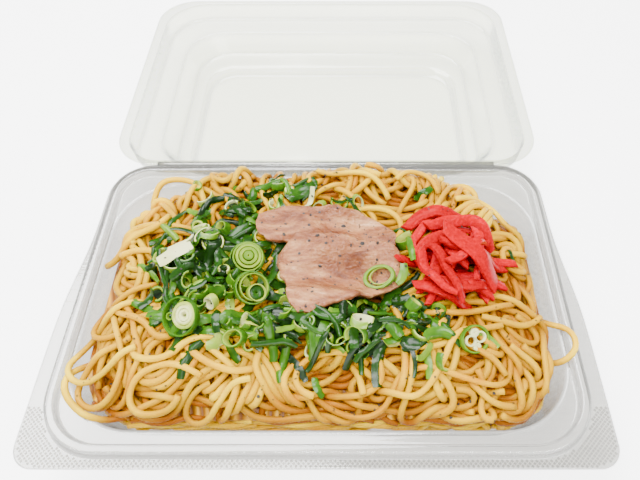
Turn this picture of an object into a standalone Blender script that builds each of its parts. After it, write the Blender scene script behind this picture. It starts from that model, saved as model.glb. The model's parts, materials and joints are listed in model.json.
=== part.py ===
"""Yakisoba in a clear hinged food pack: a tray heaped with noodles, and its lid folded open flat.

Sizes are in millimetres and turned to metres as each mesh is made. X runs across the pack, Y from
its front to its hinge, and Z up. The origin is the middle of the tray's underside.
"""

import math

import bmesh
import bpy
from mathutils import Matrix, Vector, noise
from mathutils.bvhtree import BVHTree

MM = 0.001

# The formed sheet, shared by both halves of the pack
SHEET = 0.6
RIM_Z = 26.0  # top of the flat flange on both halves, which lie level while the pack is open
HALF_DEPTH = 67.5  # from the tray's middle to the fold
HINGE_GAP = 0.3  # between the two halves along the fold
HINGE_LIFT = 0.15  # the fold's axis above the flange, which keeps the shut flanges apart
HINGE_CORNER = 19.0  # both halves round off beside the fold
CORNER_STEPS = 6
SIDE_STEPS = 6

# Tray: flange, bead, mouth and wall
TRAY_FLANGE_HALF_WIDTH = 100.3
TRAY_FLANGE_FRONT_CORNER = 8.0
TRAY_FLANGE_NARROWER = 4.0  # how much slimmer each side of the flange is beside the fold
TRAY_FLANGE_WIDE_Y, TRAY_FLANGE_SLIM_Y = -15.0, 30.0
BEAD_HALF_WIDTH, BEAD_HALF_DEPTH = 94.3, 64.0
BEAD_FRONT_CORNER, BEAD_BACK_CORNER = 22.0, 16.3
BEAD_HEIGHT, BEAD_WIDTH = 3.6, 4.1
MOUTH_HALF_WIDTH, MOUTH_HALF_DEPTH, MOUTH_CORNER = 89.2, 55.2, 26.0
WALL_DRAFT = 5.0  # how far the wall leans in between the mouth and the floor
WALL_FOOT = 3.0  # where the wall starts to round into the floor

# Lid, as it lies open: its drops are measured down from the flange
LID_HALF_WIDTH, LID_DEPTH, LID_FAR_CORNER = 100.0, 135.0, 30.0
BEAD_CLEARANCE = 0.7  # between the shut lid's shoulder and the tray's bead
SHOULDER_INSET, SHOULDER_DROP = 2.8, 9.6
DOME_HALF_WIDTH, DOME_DROP = 83.3, 20.6
ROOF_HALF_WIDTH = 69.8

# The heap of noodles
WALL_GAP = 0.6
HEAP_HEIGHT = 15.0  # above the flange, less the lumps
HEAP_HALF_WIDTH, HEAP_FRONT, HEAP_BACK = 88.0, -56.0, 57.0
HEAP_FRONT_SLOPE, HEAP_BACK_SLOPE = 38.0, 6.5
HEAP_RIDGE = 2.8  # how much higher the heap is behind the toppings
HEAP_BACK_AT_SIDES = 31.0  # towards its sides, the heap's back edge comes forward to here
HEAP_TURN_START, HEAP_TURN_END = 38.0, 84.0
CORNER_FALL = 9.0  # how far below the flange the noodles lie in the tray's two back corners
CORNER_START, CORNER_END = -2.0, 12.0  # of that fall, behind the heap's back edge
CORNER_SIDE_START, CORNER_SIDE_END = 40.0, 62.0  # and away from the middle
HEAP_LUMP, HEAP_LUMP_SPACING = 1.0, 11.0
OVERHANG_SPACING = 19.0  # of the loops that spill out onto the tray's ledge
SPILL_LOW, SPILL_HIGH = -0.3, 0.6  # the unevenness at which a loop starts out and is all the way out
SPILL_FADE_Y, SPILL_FADE_X = (8.0, 24.0), (20.0, 40.0)  # none spill over the back corners
HOLLOW_DEPTH = 5.4  # the dip in the heap that holds the toppings
HOLLOW_MIDDLE, HOLLOW_REACH = (-4.0, 2.0), (42.0, 30.0)
RIDGE_MIDDLE, RIDGE_REACH = (12.0, 48.0), (36.0, 14.0)
HEAP_FLOOR_INSET, HEAP_FOOT_INSET, HEAP_FOOT_RISE = 4.2, 1.5, 0.6  # the rounded foot of the heap
HEAP_WALL_INSET, HEAP_MOUTH_INSET = 1.4, 0.9  # clear of the tray's wall, lower down and at its mouth
RIM_LIFT = 0.3  # of the spilt loops off the ledge
HEAP_RINGS = 13
RIM_DEPTH = 1.5  # of the noodles at the heap's edge

# The toppings: outlines seen from above, as the corners of smooth closed curves
REST_GAP = 0.45  # one thing laid on another
DRAPE_REACH = 2.5  # how far beside each point the floor under a draped thing is felt for
TAUT_PASSES = 12
TOPPING_LUMP_SPACING = 6.0
EDGE_SHARE = 0.55  # how much of its thickness a draped thing keeps at its very edge
PORK_REAR = [(-25, 21), (-18, 7), (-2, 4), (14, 5), (29, 8), (27, 18), (14, 25), (-4, 28),
             (-19, 27)]
PORK_FRONT = [(-12, 8), (-13, -3), (-9, -15), (-4, -22), (8, -17), (21, -13), (30, -7), (29, 8),
              (23, 19), (8, 14), (-3, 12)]
PORK_THICKNESS = 2.4
GINGER = [(32, 17), (31, 2), (35, -8), (43, -13), (50, -17), (60, -11), (69, -3), (71, 8),
          (64, 18), (50, 23), (39, 22)]
GINGER_EDGE, GINGER_CROWN, GINGER_LUMP = 2.6, 2.6, 0.9
SCALLIONS = [(-58, -20), (-60, -2), (-54, 12), (-46, 26), (-34, 36), (-22, 43), (-6, 41),
             (8, 34), (27, 24), (33, 8), (34, -10), (45, -17), (47, -31), (32, -34), (8, -35),
             (-20, -35), (-45, -28)]
SCALLION_THICKNESS, SCALLION_LUMP = 1.6, 0.5
SCALLION_RINGS = {
    # name: middle x, y, outer radius, wall, height, tips about X and Y in degrees
    "scallion_ring_left": (-47, -21, 7.4, 1.9, 2.6, 6, -5),
    "scallion_ring_right": (54, -27, 6.2, 1.5, 2.8, 12, 8),
    "scallion_ring_on_pork": (22, -5, 6.0, 1.2, 2.4, 4, 5),
    "scallion_ring_upper": (-27, 6, 6.6, 2.6, 3.4, 9, -4),
    "scallion_ring_lower": (-26, -9, 6.6, 1.6, 3.4, 8, 4),
}
RING_STEPS = 18


def clear_scene():
    for obj in list(bpy.data.objects):
        bpy.data.objects.remove(obj, do_unlink=True)


def material(name, colour, roughness, alpha=1.0):
    made = bpy.data.materials.new(name)
    made.use_nodes = True
    shader = made.node_tree.nodes["Principled BSDF"]
    shader.inputs["Base Color"].default_value = (*colour, 1.0)
    shader.inputs["Roughness"].default_value = roughness
    shader.inputs["Metallic"].default_value = 0.0
    shader.inputs["Alpha"].default_value = alpha
    made.diffuse_color = (*colour, alpha)
    return made


def put_in_scene(name, bm, finish, origin=(0.0, 0.0, 0.0)):
    """Turns a bmesh in millimetres into an object whose origin is where asked."""
    bmesh.ops.translate(bm, verts=bm.verts, vec=-Vector(origin))
    bmesh.ops.scale(bm, vec=(MM, MM, MM), verts=bm.verts)
    bmesh.ops.recalc_face_normals(bm, faces=bm.faces)
    mesh = bpy.data.meshes.new(name)
    bm.to_mesh(mesh)
    bm.free()
    mesh.shade_smooth()
    mesh.set_sharp_from_angle(angle=math.radians(40))
    mesh.materials.append(finish)
    obj = bpy.data.objects.new(name, mesh)
    obj.location = Vector(origin) * MM
    bpy.context.scene.collection.objects.link(obj)
    bpy.context.view_layer.update()
    return obj


def stacked_skin(levels, close_start):
    """A bmesh skin through loops of as many points each, closed on its last loop."""
    bm = bmesh.new()
    loops = []
    for level in levels:
        verts = [bm.verts.new(point) for point in level]
        loops.append([bm.edges.new(pair) for pair in zip(verts, verts[1:] + verts[:1])])
    for one, other in zip(loops, loops[1:]):
        bmesh.ops.bridge_loops(bm, edges=one + other)
    for edges in [loops[-1]] + ([loops[0]] if close_start else []):
        bmesh.ops.edgeloop_fill(bm, edges=edges)
    return bm


def at_height(outline, z):
    return [(x, y, z) for x, y in outline]


def rounded_outline(
    half_width, front, back, front_radius, back_radius,
    corner_steps=CORNER_STEPS, side_steps=SIDE_STEPS, front_steps=1,
):
    """A rounded rectangle's points, anticlockwise from the right end of its front edge."""
    corners = (
        (half_width, front, front_radius, -90),
        (half_width, back, back_radius, 0),
        (-half_width, back, back_radius, 90),
        (-half_width, front, front_radius, 180),
    )
    points = []
    for number, (x, y, radius, start) in enumerate(corners):
        centre_x = x - math.copysign(radius, x)
        centre_y = y + radius if y == front else y - radius
        for step in range(corner_steps + 1):
            angle = math.radians(start + 90 * step / corner_steps)
            points.append((centre_x + radius * math.cos(angle), centre_y + radius * math.sin(angle)))
        next_x, next_y, next_radius, _ = corners[(number + 1) % 4]
        steps = side_steps if next_x == x else front_steps
        first = Vector(points[-1])
        if next_x == x:
            last = Vector((x, next_y - math.copysign(next_radius, next_y - y)))
        else:
            last = Vector((next_x - math.copysign(next_radius, next_x), y))
        for step in range(1, steps):
            points.append(tuple(first.lerp(last, step / steps)))
    return points


def make_sheet(name, levels, finish, origin=(0.0, 0.0, 0.0)):
    """Formed sheet: levels draw its upper, inner surface, and it grows down and out from there."""
    skin = stacked_skin([at_height(outline, z) for outline, z in levels], close_start=False)
    obj = put_in_scene(name, skin, finish, origin)
    floor = max(obj.data.polygons, key=lambda face: face.area)
    if floor.normal.z < 0:
        obj.data.flip_normals()
    solidify = obj.modifiers.new("sheet", "SOLIDIFY")
    solidify.thickness = SHEET * MM
    solidify.offset = -1.0
    solidify.use_even_offset = True
    return obj


def bead_outline(inset, **steps):
    return rounded_outline(
        BEAD_HALF_WIDTH - inset, -BEAD_HALF_DEPTH + inset, BEAD_HALF_DEPTH - inset,
        BEAD_FRONT_CORNER - inset, BEAD_BACK_CORNER - inset, **steps,
    )


def mouth_outline(inset, **steps):
    depth = MOUTH_HALF_DEPTH - inset
    radius = MOUTH_CORNER - inset
    return rounded_outline(MOUTH_HALF_WIDTH - inset, -depth, depth, radius, radius, **steps)


def smooth_step(value, low, high):
    share = min(max((value - low) / (high - low), 0.0), 1.0)
    return share * share * (3 - 2 * share)


def tray_flange_outline():
    """Wide ears at the front, and slimmer sides towards the hinge."""
    plain = rounded_outline(
        TRAY_FLANGE_HALF_WIDTH, -HALF_DEPTH, HALF_DEPTH - HINGE_GAP / 2,
        TRAY_FLANGE_FRONT_CORNER, HINGE_CORNER,
    )
    outline = []
    for x, y in plain:
        slimmer = TRAY_FLANGE_NARROWER * smooth_step(y, TRAY_FLANGE_WIDE_Y, TRAY_FLANGE_SLIM_Y)
        outline.append((x * (1 - slimmer / TRAY_FLANGE_HALF_WIDTH), y))
    return outline


def make_tray(finish):
    levels = [
        (tray_flange_outline(), RIM_Z),
        (bead_outline(0.0), RIM_Z),
        (bead_outline(0.5), RIM_Z + BEAD_HEIGHT - 0.5),
        (bead_outline(1.1), RIM_Z + BEAD_HEIGHT),
        (bead_outline(BEAD_WIDTH - 1.2), RIM_Z + BEAD_HEIGHT),
        (bead_outline(BEAD_WIDTH - 0.6), RIM_Z + BEAD_HEIGHT - 0.5),
        (bead_outline(BEAD_WIDTH), RIM_Z + 0.1),
        (mouth_outline(0.0), RIM_Z - 0.1),
        (mouth_outline(0.7), RIM_Z - 1.2),
        (mouth_outline(0.7 + WALL_DRAFT), WALL_FOOT),
        (mouth_outline(1.5 + WALL_DRAFT), WALL_FOOT - 1.6),
        (mouth_outline(3.2 + WALL_DRAFT), SHEET),
    ]
    return make_sheet("tray", levels, finish)


def lid_outline(half_width, near, far, near_radius, far_radius):
    """near and far are how far in from the fold and from the far edge the outline runs."""
    return rounded_outline(
        half_width, HALF_DEPTH + near, HALF_DEPTH + LID_DEPTH - far, near_radius, far_radius
    )


def shoulder_outline(inset):
    """The lid's outer wall, which slips over the tray's bead."""
    edge = SHOULDER_INSET + inset
    return lid_outline(
        BEAD_HALF_WIDTH + BEAD_CLEARANCE - inset, edge, edge,
        BEAD_BACK_CORNER + BEAD_CLEARANCE - inset, BEAD_FRONT_CORNER + BEAD_CLEARANCE - inset,
    )


def make_lid(finish):
    levels = [
        (lid_outline(LID_HALF_WIDTH, HINGE_GAP / 2, 0.0, HINGE_CORNER, LID_FAR_CORNER), 0.0),
        (shoulder_outline(0.0), 0.0),
        (shoulder_outline(0.8), SHOULDER_DROP - 0.8),
        (shoulder_outline(1.4), SHOULDER_DROP - 0.2),
        (lid_outline(DOME_HALF_WIDTH, 8.8, 17.5, 18.0, 22.0), SHOULDER_DROP),
        (lid_outline(DOME_HALF_WIDTH - 0.7, 9.5, 18.2, 17.5, 21.5), SHOULDER_DROP + 0.8),
        (lid_outline(DOME_HALF_WIDTH - 5.5, 12.1, 22.7, 16.0, 19.0), DOME_DROP - 0.8),
        (lid_outline(DOME_HALF_WIDTH - 6.5, 12.8, 23.9, 15.5, 18.5), DOME_DROP),
        (lid_outline(ROOF_HALF_WIDTH + 1.7, 14.5, 35.0, 14.0, 16.0), DOME_DROP + 1.0),
        (lid_outline(ROOF_HALF_WIDTH, 15.7, 39.0, 13.0, 15.0), RIM_Z - SHEET),
    ]
    return make_sheet(
        "lid", [(outline, RIM_Z - drop) for outline, drop in levels], finish,
        origin=(0.0, HALF_DEPTH, RIM_Z + HINGE_LIFT),
    )


def lump(x, y, spacing):
    """Unevenness between about -1 and 1 that is the same on each run."""
    return 1.6 * noise.noise(Vector((x, y, 0.0)) / spacing)


def heap_back(x):
    """Where the heap's back edge runs: near the fold in the middle, further forward at its sides."""
    turn = smooth_step(abs(x), HEAP_TURN_START, HEAP_TURN_END)
    return HEAP_BACK - (HEAP_BACK - HEAP_BACK_AT_SIDES) * turn


def corner_share(x, y):
    """1 in the tray's two back corners, which the heap leaves nearly empty, and 0 elsewhere."""
    behind = smooth_step(y - heap_back(x), CORNER_START, CORNER_END)
    return behind * smooth_step(abs(x), CORNER_SIDE_START, CORNER_SIDE_END)


def swell(x, y, middle, reach):
    """A smooth hill of height 1 about its middle."""
    return math.exp(-(((x - middle[0]) / reach[0]) ** 2) - ((y - middle[1]) / reach[1]) ** 2)


def heap_top(x, y):
    """Height of the heap of noodles above the flange."""
    across = max(1 - (abs(x) / HEAP_HALF_WIDTH) ** 4, 0.0) ** 0.8
    from_front = math.sin(math.pi / 2 * min(max((y - HEAP_FRONT) / HEAP_FRONT_SLOPE, 0.0), 1.0))
    from_back = math.sqrt(min(max((heap_back(x) - y) / HEAP_BACK_SLOPE, 0.0), 1.0))
    edge = across * from_front * from_back
    hollow = HOLLOW_DEPTH * swell(x, y, HOLLOW_MIDDLE, HOLLOW_REACH)
    ridge = HEAP_RIDGE * swell(x, y, RIDGE_MIDDLE, RIDGE_REACH)
    lumps = HEAP_LUMP * lump(x, y, HEAP_LUMP_SPACING)
    above = HEAP_HEIGHT * edge + (ridge + lumps - hollow) * min(edge * 2, 1.0)
    return above - CORNER_FALL * corner_share(x, y)


def wall_level(inset, z, **steps):
    """A loop of the heap along the tray's leaning wall, lower in the two back corners."""
    lower_inset = inset + WALL_DRAFT * CORNER_FALL / (RIM_Z - WALL_FOOT)
    level = []
    for (x, y), (low_x, low_y) in zip(
        mouth_outline(inset, **steps), mouth_outline(lower_inset, **steps)
    ):
        share = corner_share(x, y)
        place = Vector((x, y, z)).lerp(Vector((low_x, low_y, z - CORNER_FALL)), share)
        level.append(tuple(place))
    return level


def make_noodles(finish):
    """One heap that fills the tray and stands above it, out to the noodles' uneven outline."""
    steps = {"corner_steps": 8, "side_steps": 9, "front_steps": 16}
    levels = [
        at_height(mouth_outline(WALL_DRAFT + HEAP_FLOOR_INSET, **steps), SHEET + WALL_GAP),
        at_height(mouth_outline(WALL_DRAFT + HEAP_FOOT_INSET, **steps), WALL_FOOT + HEAP_FOOT_RISE),
        wall_level(HEAP_WALL_INSET, RIM_Z - HEAP_WALL_INSET, **steps),
        wall_level(HEAP_MOUTH_INSET, RIM_Z + WALL_GAP, **steps),
    ]
    rim = []
    bead = bead_outline(BEAD_WIDTH + WALL_GAP, **steps)
    for (x, y, z), (bead_x, bead_y) in zip(levels[-1], bead):
        spill = smooth_step(lump(x, y, OVERHANG_SPACING), SPILL_LOW, SPILL_HIGH)
        spill *= 1 - smooth_step(y, *SPILL_FADE_Y) * smooth_step(abs(x), *SPILL_FADE_X)
        rim.append((x + (bead_x - x) * spill, y + (bead_y - y) * spill, z + RIM_LIFT))
    levels.append(rim)
    levels.append([(x, y, z + RIM_DEPTH) for x, y, z in rim])
    for ring in range(1, HEAP_RINGS):
        shrink = 1 - (ring / HEAP_RINGS) ** 1.2
        level = [(x * shrink, y * shrink) for x, y, _ in rim]
        foot = RIM_Z + WALL_GAP + RIM_DEPTH + RIM_LIFT
        levels.append([(x, y, foot + heap_top(x, y)) for x, y in level])
    return put_in_scene("noodles", stacked_skin(levels, close_start=True), finish)


def smooth_closed(corners, steps):
    """Points on a closed Catmull-Rom curve through the corners."""
    points = []
    for number in range(len(corners)):
        a, b, c, d = (Vector(corners[(number + k) % len(corners)]) for k in (-1, 0, 1, 2))
        for step in range(steps):
            t = step / steps
            bend = (2 * a - 5 * b + 4 * c - d) * t**2 + (3 * b - a - 3 * c + d) * t**3
            points.append(0.5 * (2 * b + (c - a) * t + bend))
    return points


class Ground:
    """What has been laid so far, as felt from above."""

    def __init__(self, *laid):
        self.trees = []
        for obj in laid:
            self.add(obj)

    def add(self, obj):
        points = [tuple(obj.matrix_world @ vert.co / MM) for vert in obj.data.vertices]
        faces = [tuple(face.vertices) for face in obj.data.polygons]
        self.trees.append(BVHTree.FromPolygons(points, faces))

    def height(self, x, y, reach=0.0):
        """The highest point at a place and, given a reach, on a circle round it."""
        places = [(x, y)]
        for turn in range(8 if reach else 0):
            angle = math.tau * turn / 8
            places.append((x + reach * math.cos(angle), y + reach * math.sin(angle)))
        hits = [
            tree.ray_cast(Vector((*place, 4 * RIM_Z)), Vector((0, 0, -1)))[0]
            for place in places
            for tree in self.trees
        ]
        return max(hit.z for hit in hits if hit is not None)


def taut(levels, floor):
    """Heights of a thing too stiff to follow every hollow of the floor under it."""
    heights = [list(level) for level in floor]
    count = len(levels[0])
    for _ in range(TAUT_PASSES):
        for ring, level in enumerate(heights):
            for place in range(count):
                outer = heights[max(ring - 1, 0)][place]
                inner = heights[min(ring + 1, len(heights) - 1)][place]
                beside = level[place - 1] + level[(place + 1) % count]
                level[place] = max(floor[ring][place], (outer + inner + beside) / 4)
    return heights


def make_draped(name, corners, finish, ground, thickness, crown=0.0, lumps=0.0, rings=5, steps=3):
    """A slice, or with a crown a mound, that lies on what is under it.

    thickness is its depth near its edge, and crown how much deeper the middle is.
    """
    outline = smooth_closed(corners, steps)
    middle = sum(outline, Vector((0.0, 0.0))) / len(outline)
    levels = [
        [middle + (point - middle) * (1 - ring / rings) for point in outline]
        for ring in range(rings)
    ]
    floor = [[ground.height(x, y, DRAPE_REACH) + REST_GAP for x, y in level] for level in levels]
    under, over = [], []
    for ring, (level, feet) in enumerate(zip(levels, taut(levels, floor))):
        depth = thickness * (EDGE_SHARE if ring == 0 else 1.0)
        depth += crown * math.sin(math.pi / 2 * ring / rings)
        under.append([(x, y, z) for (x, y), z in zip(level, feet)])
        over.append([
            (x, y, z + depth + (lumps * lump(x, y, TOPPING_LUMP_SPACING) if ring else 0.0))
            for (x, y), z in zip(level, feet)
        ])
    skin = stacked_skin(under[::-1] + over, close_start=True)
    obj = put_in_scene(name, skin, finish)
    ground.add(obj)
    return obj


def make_ring(name, place, finish, ground):
    """A slice across a hollow leaf: a short tube, tipped to lie on what is under it."""
    x, y, radius, wall, height, turn_x, turn_y = place
    rounding = 0.4
    profile = [
        (radius - wall, 0.0), (radius - rounding, 0.0), (radius, rounding),
        (radius, height - rounding), (radius - rounding, height), (radius - wall, height),
    ]
    bm = bmesh.new()
    verts = [bm.verts.new((across, 0.0, up)) for across, up in profile]
    edges = [bm.edges.new(pair) for pair in zip(verts, verts[1:] + verts[:1])]
    bmesh.ops.spin(
        bm, geom=verts + edges, cent=(0, 0, 0), axis=(0, 0, 1), angle=math.tau,
        steps=RING_STEPS, use_merge=True,
    )
    tip = Matrix.Rotation(math.radians(turn_x), 3, "X") @ Matrix.Rotation(math.radians(turn_y), 3, "Y")
    bmesh.ops.rotate(bm, verts=bm.verts, cent=(0, 0, 0), matrix=tip)
    bmesh.ops.translate(bm, verts=bm.verts, vec=(x, y, 0.0))
    lift = max(ground.height(vert.co.x, vert.co.y, 0.8) - vert.co.z for vert in bm.verts)
    bmesh.ops.translate(bm, verts=bm.verts, vec=(0.0, 0.0, lift + REST_GAP))
    obj = put_in_scene(name, bm, finish)
    ground.add(obj)
    return obj


def main():
    clear_scene()
    clear_plastic = material("clear_plastic", (0.93, 0.94, 0.93), 0.08, alpha=0.3)
    noodle = material("noodle", (0.78, 0.55, 0.24), 0.4)
    pork = material("pork", (0.62, 0.40, 0.31), 0.45)
    ginger = material("ginger", (0.85, 0.08, 0.08), 0.3)
    scallion = material("scallion", (0.10, 0.30, 0.05), 0.35)

    make_tray(clear_plastic)
    make_lid(clear_plastic)
    ground = Ground(make_noodles(noodle))
    make_draped(
        "scallions", SCALLIONS, scallion, ground, SCALLION_THICKNESS, lumps=SCALLION_LUMP, rings=7
    )
    make_draped("pork_slice_rear", PORK_REAR, pork, ground, PORK_THICKNESS)
    make_draped("pork_slice_front", PORK_FRONT, pork, ground, PORK_THICKNESS)
    make_draped(
        "pickled_ginger", GINGER, ginger, ground, GINGER_EDGE, GINGER_CROWN, GINGER_LUMP
    )
    for name, place in SCALLION_RINGS.items():
        make_ring(name, place, scallion, ground)


main()
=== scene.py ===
# %% [markdown]
# # A serving of yakisoba in a clear hinged food pack
#
# Stir-fried noodles heaped in a thin clear tray, with chopped spring onion, two slices of pork and red
# pickled ginger on top. The pack's lid lies open behind the tray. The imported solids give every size
# here. Each solid is replaced by what it stands for: formed sheet, real strands and cut vegetables.

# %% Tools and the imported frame
import json
import math

import bmesh
import bpy
import numpy as np
from mathutils import Matrix, Vector, noise
from mathutils.bvhtree import BVHTree


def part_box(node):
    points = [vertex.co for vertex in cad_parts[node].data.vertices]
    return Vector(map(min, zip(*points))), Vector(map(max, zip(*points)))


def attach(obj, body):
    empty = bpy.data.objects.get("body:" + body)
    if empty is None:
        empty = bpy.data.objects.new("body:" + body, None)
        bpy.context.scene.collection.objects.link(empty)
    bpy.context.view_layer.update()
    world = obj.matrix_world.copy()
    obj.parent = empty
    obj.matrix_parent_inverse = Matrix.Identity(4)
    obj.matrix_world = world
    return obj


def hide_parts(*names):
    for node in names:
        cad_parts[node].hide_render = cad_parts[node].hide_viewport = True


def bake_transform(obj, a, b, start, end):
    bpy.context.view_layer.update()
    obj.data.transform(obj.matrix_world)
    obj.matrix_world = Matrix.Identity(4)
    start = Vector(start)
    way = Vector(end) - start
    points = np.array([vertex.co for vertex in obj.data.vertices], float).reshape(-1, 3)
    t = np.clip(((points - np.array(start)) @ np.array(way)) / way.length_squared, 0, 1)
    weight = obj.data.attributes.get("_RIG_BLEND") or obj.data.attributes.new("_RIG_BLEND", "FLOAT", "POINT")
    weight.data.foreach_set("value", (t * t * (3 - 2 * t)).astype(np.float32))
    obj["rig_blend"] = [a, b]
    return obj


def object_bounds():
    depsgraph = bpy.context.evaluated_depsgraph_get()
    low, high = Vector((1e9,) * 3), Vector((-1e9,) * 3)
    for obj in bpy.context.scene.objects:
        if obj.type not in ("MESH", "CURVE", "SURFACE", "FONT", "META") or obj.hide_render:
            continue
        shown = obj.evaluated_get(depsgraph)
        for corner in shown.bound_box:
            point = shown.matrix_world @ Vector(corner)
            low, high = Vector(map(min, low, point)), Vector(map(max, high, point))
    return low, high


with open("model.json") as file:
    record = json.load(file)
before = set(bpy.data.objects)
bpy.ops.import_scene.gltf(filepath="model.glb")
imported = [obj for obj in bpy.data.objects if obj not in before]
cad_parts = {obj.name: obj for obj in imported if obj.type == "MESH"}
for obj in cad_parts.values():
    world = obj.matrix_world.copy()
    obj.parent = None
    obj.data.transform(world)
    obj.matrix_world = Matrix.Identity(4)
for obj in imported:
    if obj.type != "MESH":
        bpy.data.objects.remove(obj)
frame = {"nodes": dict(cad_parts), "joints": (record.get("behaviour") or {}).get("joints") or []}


def box_as_lists(box):
    return [[float(number) for number in corner] for corner in box]


packed_box = box_as_lists(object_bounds())
print("packed model, metres:", packed_box)

# %% [markdown]
# The sizes below are in millimetres, with the frame's own axes: X across the pack, Y towards the fold
# and Z up from the table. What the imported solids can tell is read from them, so the looks always fit
# the frame. The other numbers are the steps of the formed sheet between those outer sizes.

# %% Sizes, in millimetres
MM = 0.001
tray_low, tray_high = (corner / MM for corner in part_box("tray"))
lid_low, lid_high = (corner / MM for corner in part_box("lid"))
hinge = next(joint for joint in frame["joints"] if joint["name"] == "lid_hinge")

SHEET = 0.6
FOOT = SHEET + 0.3  # the film's upper face where it stands on the table
RIM_Z = lid_high.z
HINGE_Y = hinge["pos_m"][1] / MM
HINGE_GAP = 2 * (lid_low.y - HINGE_Y)
BEAD_HEIGHT = tray_high.z - RIM_Z
BEAD_HALF_WIDTH, BEAD_HALF_DEPTH, BEAD_WIDTH = 94.3, 64.0, 4.1
BEAD_FRONT_CORNER, BEAD_BACK_CORNER = 22.0, 16.3
MOUTH_HALF_WIDTH, MOUTH_HALF_DEPTH, MOUTH_CORNER = 89.2, 55.2, 26.0
WALL_DRAFT, WALL_FOOT = 5.0, 3.0
print("flange at", round(RIM_Z, 2), "mm, fold at Y", round(HINGE_Y, 2), "mm")

# %% [markdown]
# A material is built from a few nodes. One helper adds a node, sets what it is given and links its
# inputs, so that a recipe reads as a list of nodes. Colours are written as sRGB hex, the way a paint
# program shows them, and turned into the linear values that a renderer works with.


# %% Helpers for materials
def linear(hex_colour, alpha=1.0):
    channels = [int(hex_colour[place:place + 2], 16) / 255 for place in (1, 3, 5)]
    return (*(((c + 0.055) / 1.055) ** 2.4 if c > 0.04045 else c / 12.92 for c in channels), alpha)


def add_node(tree, kind, settings=None, links=None):
    """A node with its settings, by property or input name, and its inputs' sources."""
    node = tree.nodes.new(kind)
    for name, value in (settings or {}).items():
        if isinstance(name, str) and hasattr(node, name):
            setattr(node, name, value)
        else:
            node.inputs[name].default_value = value
    for name, source in (links or {}).items():
        tree.links.new(source, node.inputs[name])
    return node


def new_material(name):
    """An empty node tree with its output node."""
    made = bpy.data.materials.new(name)
    made.use_nodes = True
    made.node_tree.nodes.clear()
    return made, made.node_tree, made.node_tree.nodes.new("ShaderNodeOutputMaterial")


def colour_ramp(tree, factor, stops):
    """A colour ramp through (place, hex colour) stops."""
    ramp = add_node(tree, "ShaderNodeValToRGB", links={"Fac": factor})
    elements = ramp.color_ramp.elements
    while len(elements) < len(stops):
        elements.new(0.5)
    for element, (place, hex_colour) in zip(elements, stops):
        element.position = place
        element.color = linear(hex_colour)
    return ramp.outputs["Color"]


# %% [markdown]
# Every mesh here goes through one function on its way into the scene. It scales the millimetres to
# metres, makes the faces point outwards, shades them smooth and ties the piece to the body that it
# moves with.


# %% Helpers for meshes
def put_in_scene(name, bm, material, body, sharp_degrees=40):
    bmesh.ops.scale(bm, vec=(MM, MM, MM), verts=bm.verts)
    bmesh.ops.recalc_face_normals(bm, faces=bm.faces)
    mesh = bpy.data.meshes.new(name)
    bm.to_mesh(mesh)
    bm.free()
    mesh.shade_smooth()
    mesh.set_sharp_from_angle(angle=math.radians(sharp_degrees))
    mesh.materials.append(material)
    piece = bpy.data.objects.new(name, mesh)
    bpy.context.scene.collection.objects.link(piece)
    if body:
        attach(piece, body)
    return piece


def rolled_skin(bm, levels, close_start=False, close_end=True, join_ends=False):
    """A skin through loops of as many points each: a grid, rolled up and sewn along its seam."""
    around = len(levels[0])
    made = bmesh.ops.create_grid(bm, x_segments=around, y_segments=len(levels) - 1, size=1.0)["verts"]
    made.sort(key=lambda vert: (round(vert.co.y, 5), round(vert.co.x, 5)))
    rows = [made[start:start + around + 1] for start in range(0, len(made), around + 1)]
    targets = {}
    for row, level in zip(rows, levels):
        home = rows[0] if join_ends and row is rows[-1] else row
        for column, vert in enumerate(row):
            vert.co = level[column % around]
            if home[column % around] is not vert:
                targets[vert] = home[column % around]
    bmesh.ops.weld_verts(bm, targetmap=targets)
    for row in ([rows[0]] if close_start else []) + ([rows[-1]] if close_end else []):
        rim = set(row[:-1])
        edges = {edge for vert in rim for edge in vert.link_edges if edge.other_vert(vert) in rim}
        bmesh.ops.edgeloop_fill(bm, edges=list(edges))
    return [vert for row in (rows[:-1] if join_ends else rows) for vert in row[:-1]]


def stacked_skin(levels, close_start=False, close_end=True, bends=None):
    """The same as a mesh of its own. Its points can carry how sharply the film bends."""
    bm = bmesh.new()
    bend = bm.verts.layers.float.new("bend") if bends else None
    made = rolled_skin(bm, levels, close_start, close_end)
    for number, vert in enumerate(made if bends else ()):
        vert[bend] = bends[number // len(levels[0])]
    return bm


def smooth_step(value, low, high):
    share = np.clip((value - low) / (high - low), 0, 1)
    return share * share * (3 - 2 * share)


def rounded_outline(half_width, front, back, front_radius, back_radius, corner_steps=12, side_steps=8):
    """A rounded rectangle's points, anticlockwise from the right end of its front edge."""
    corners = (
        (half_width, front, front_radius, -90),
        (half_width, back, back_radius, 0),
        (-half_width, back, back_radius, 90),
        (-half_width, front, front_radius, 180),
    )
    points = []
    for number, (x, y, radius, start) in enumerate(corners):
        centre = Vector((x - math.copysign(radius, x), y + radius if y == front else y - radius))
        for step in range(corner_steps + 1):
            angle = math.radians(start + 90 * step / corner_steps)
            points.append(centre + radius * Vector((math.cos(angle), math.sin(angle))))
        next_x, next_y, next_radius, _ = corners[(number + 1) % 4]
        if next_x == x:
            last = Vector((x, next_y - math.copysign(next_radius, next_y - y)))
        else:
            last = Vector((next_x - math.copysign(next_radius, next_x), y))
        first = points[-1]
        points.extend(first.lerp(last, step / side_steps) for step in range(1, side_steps))
    return points
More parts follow.
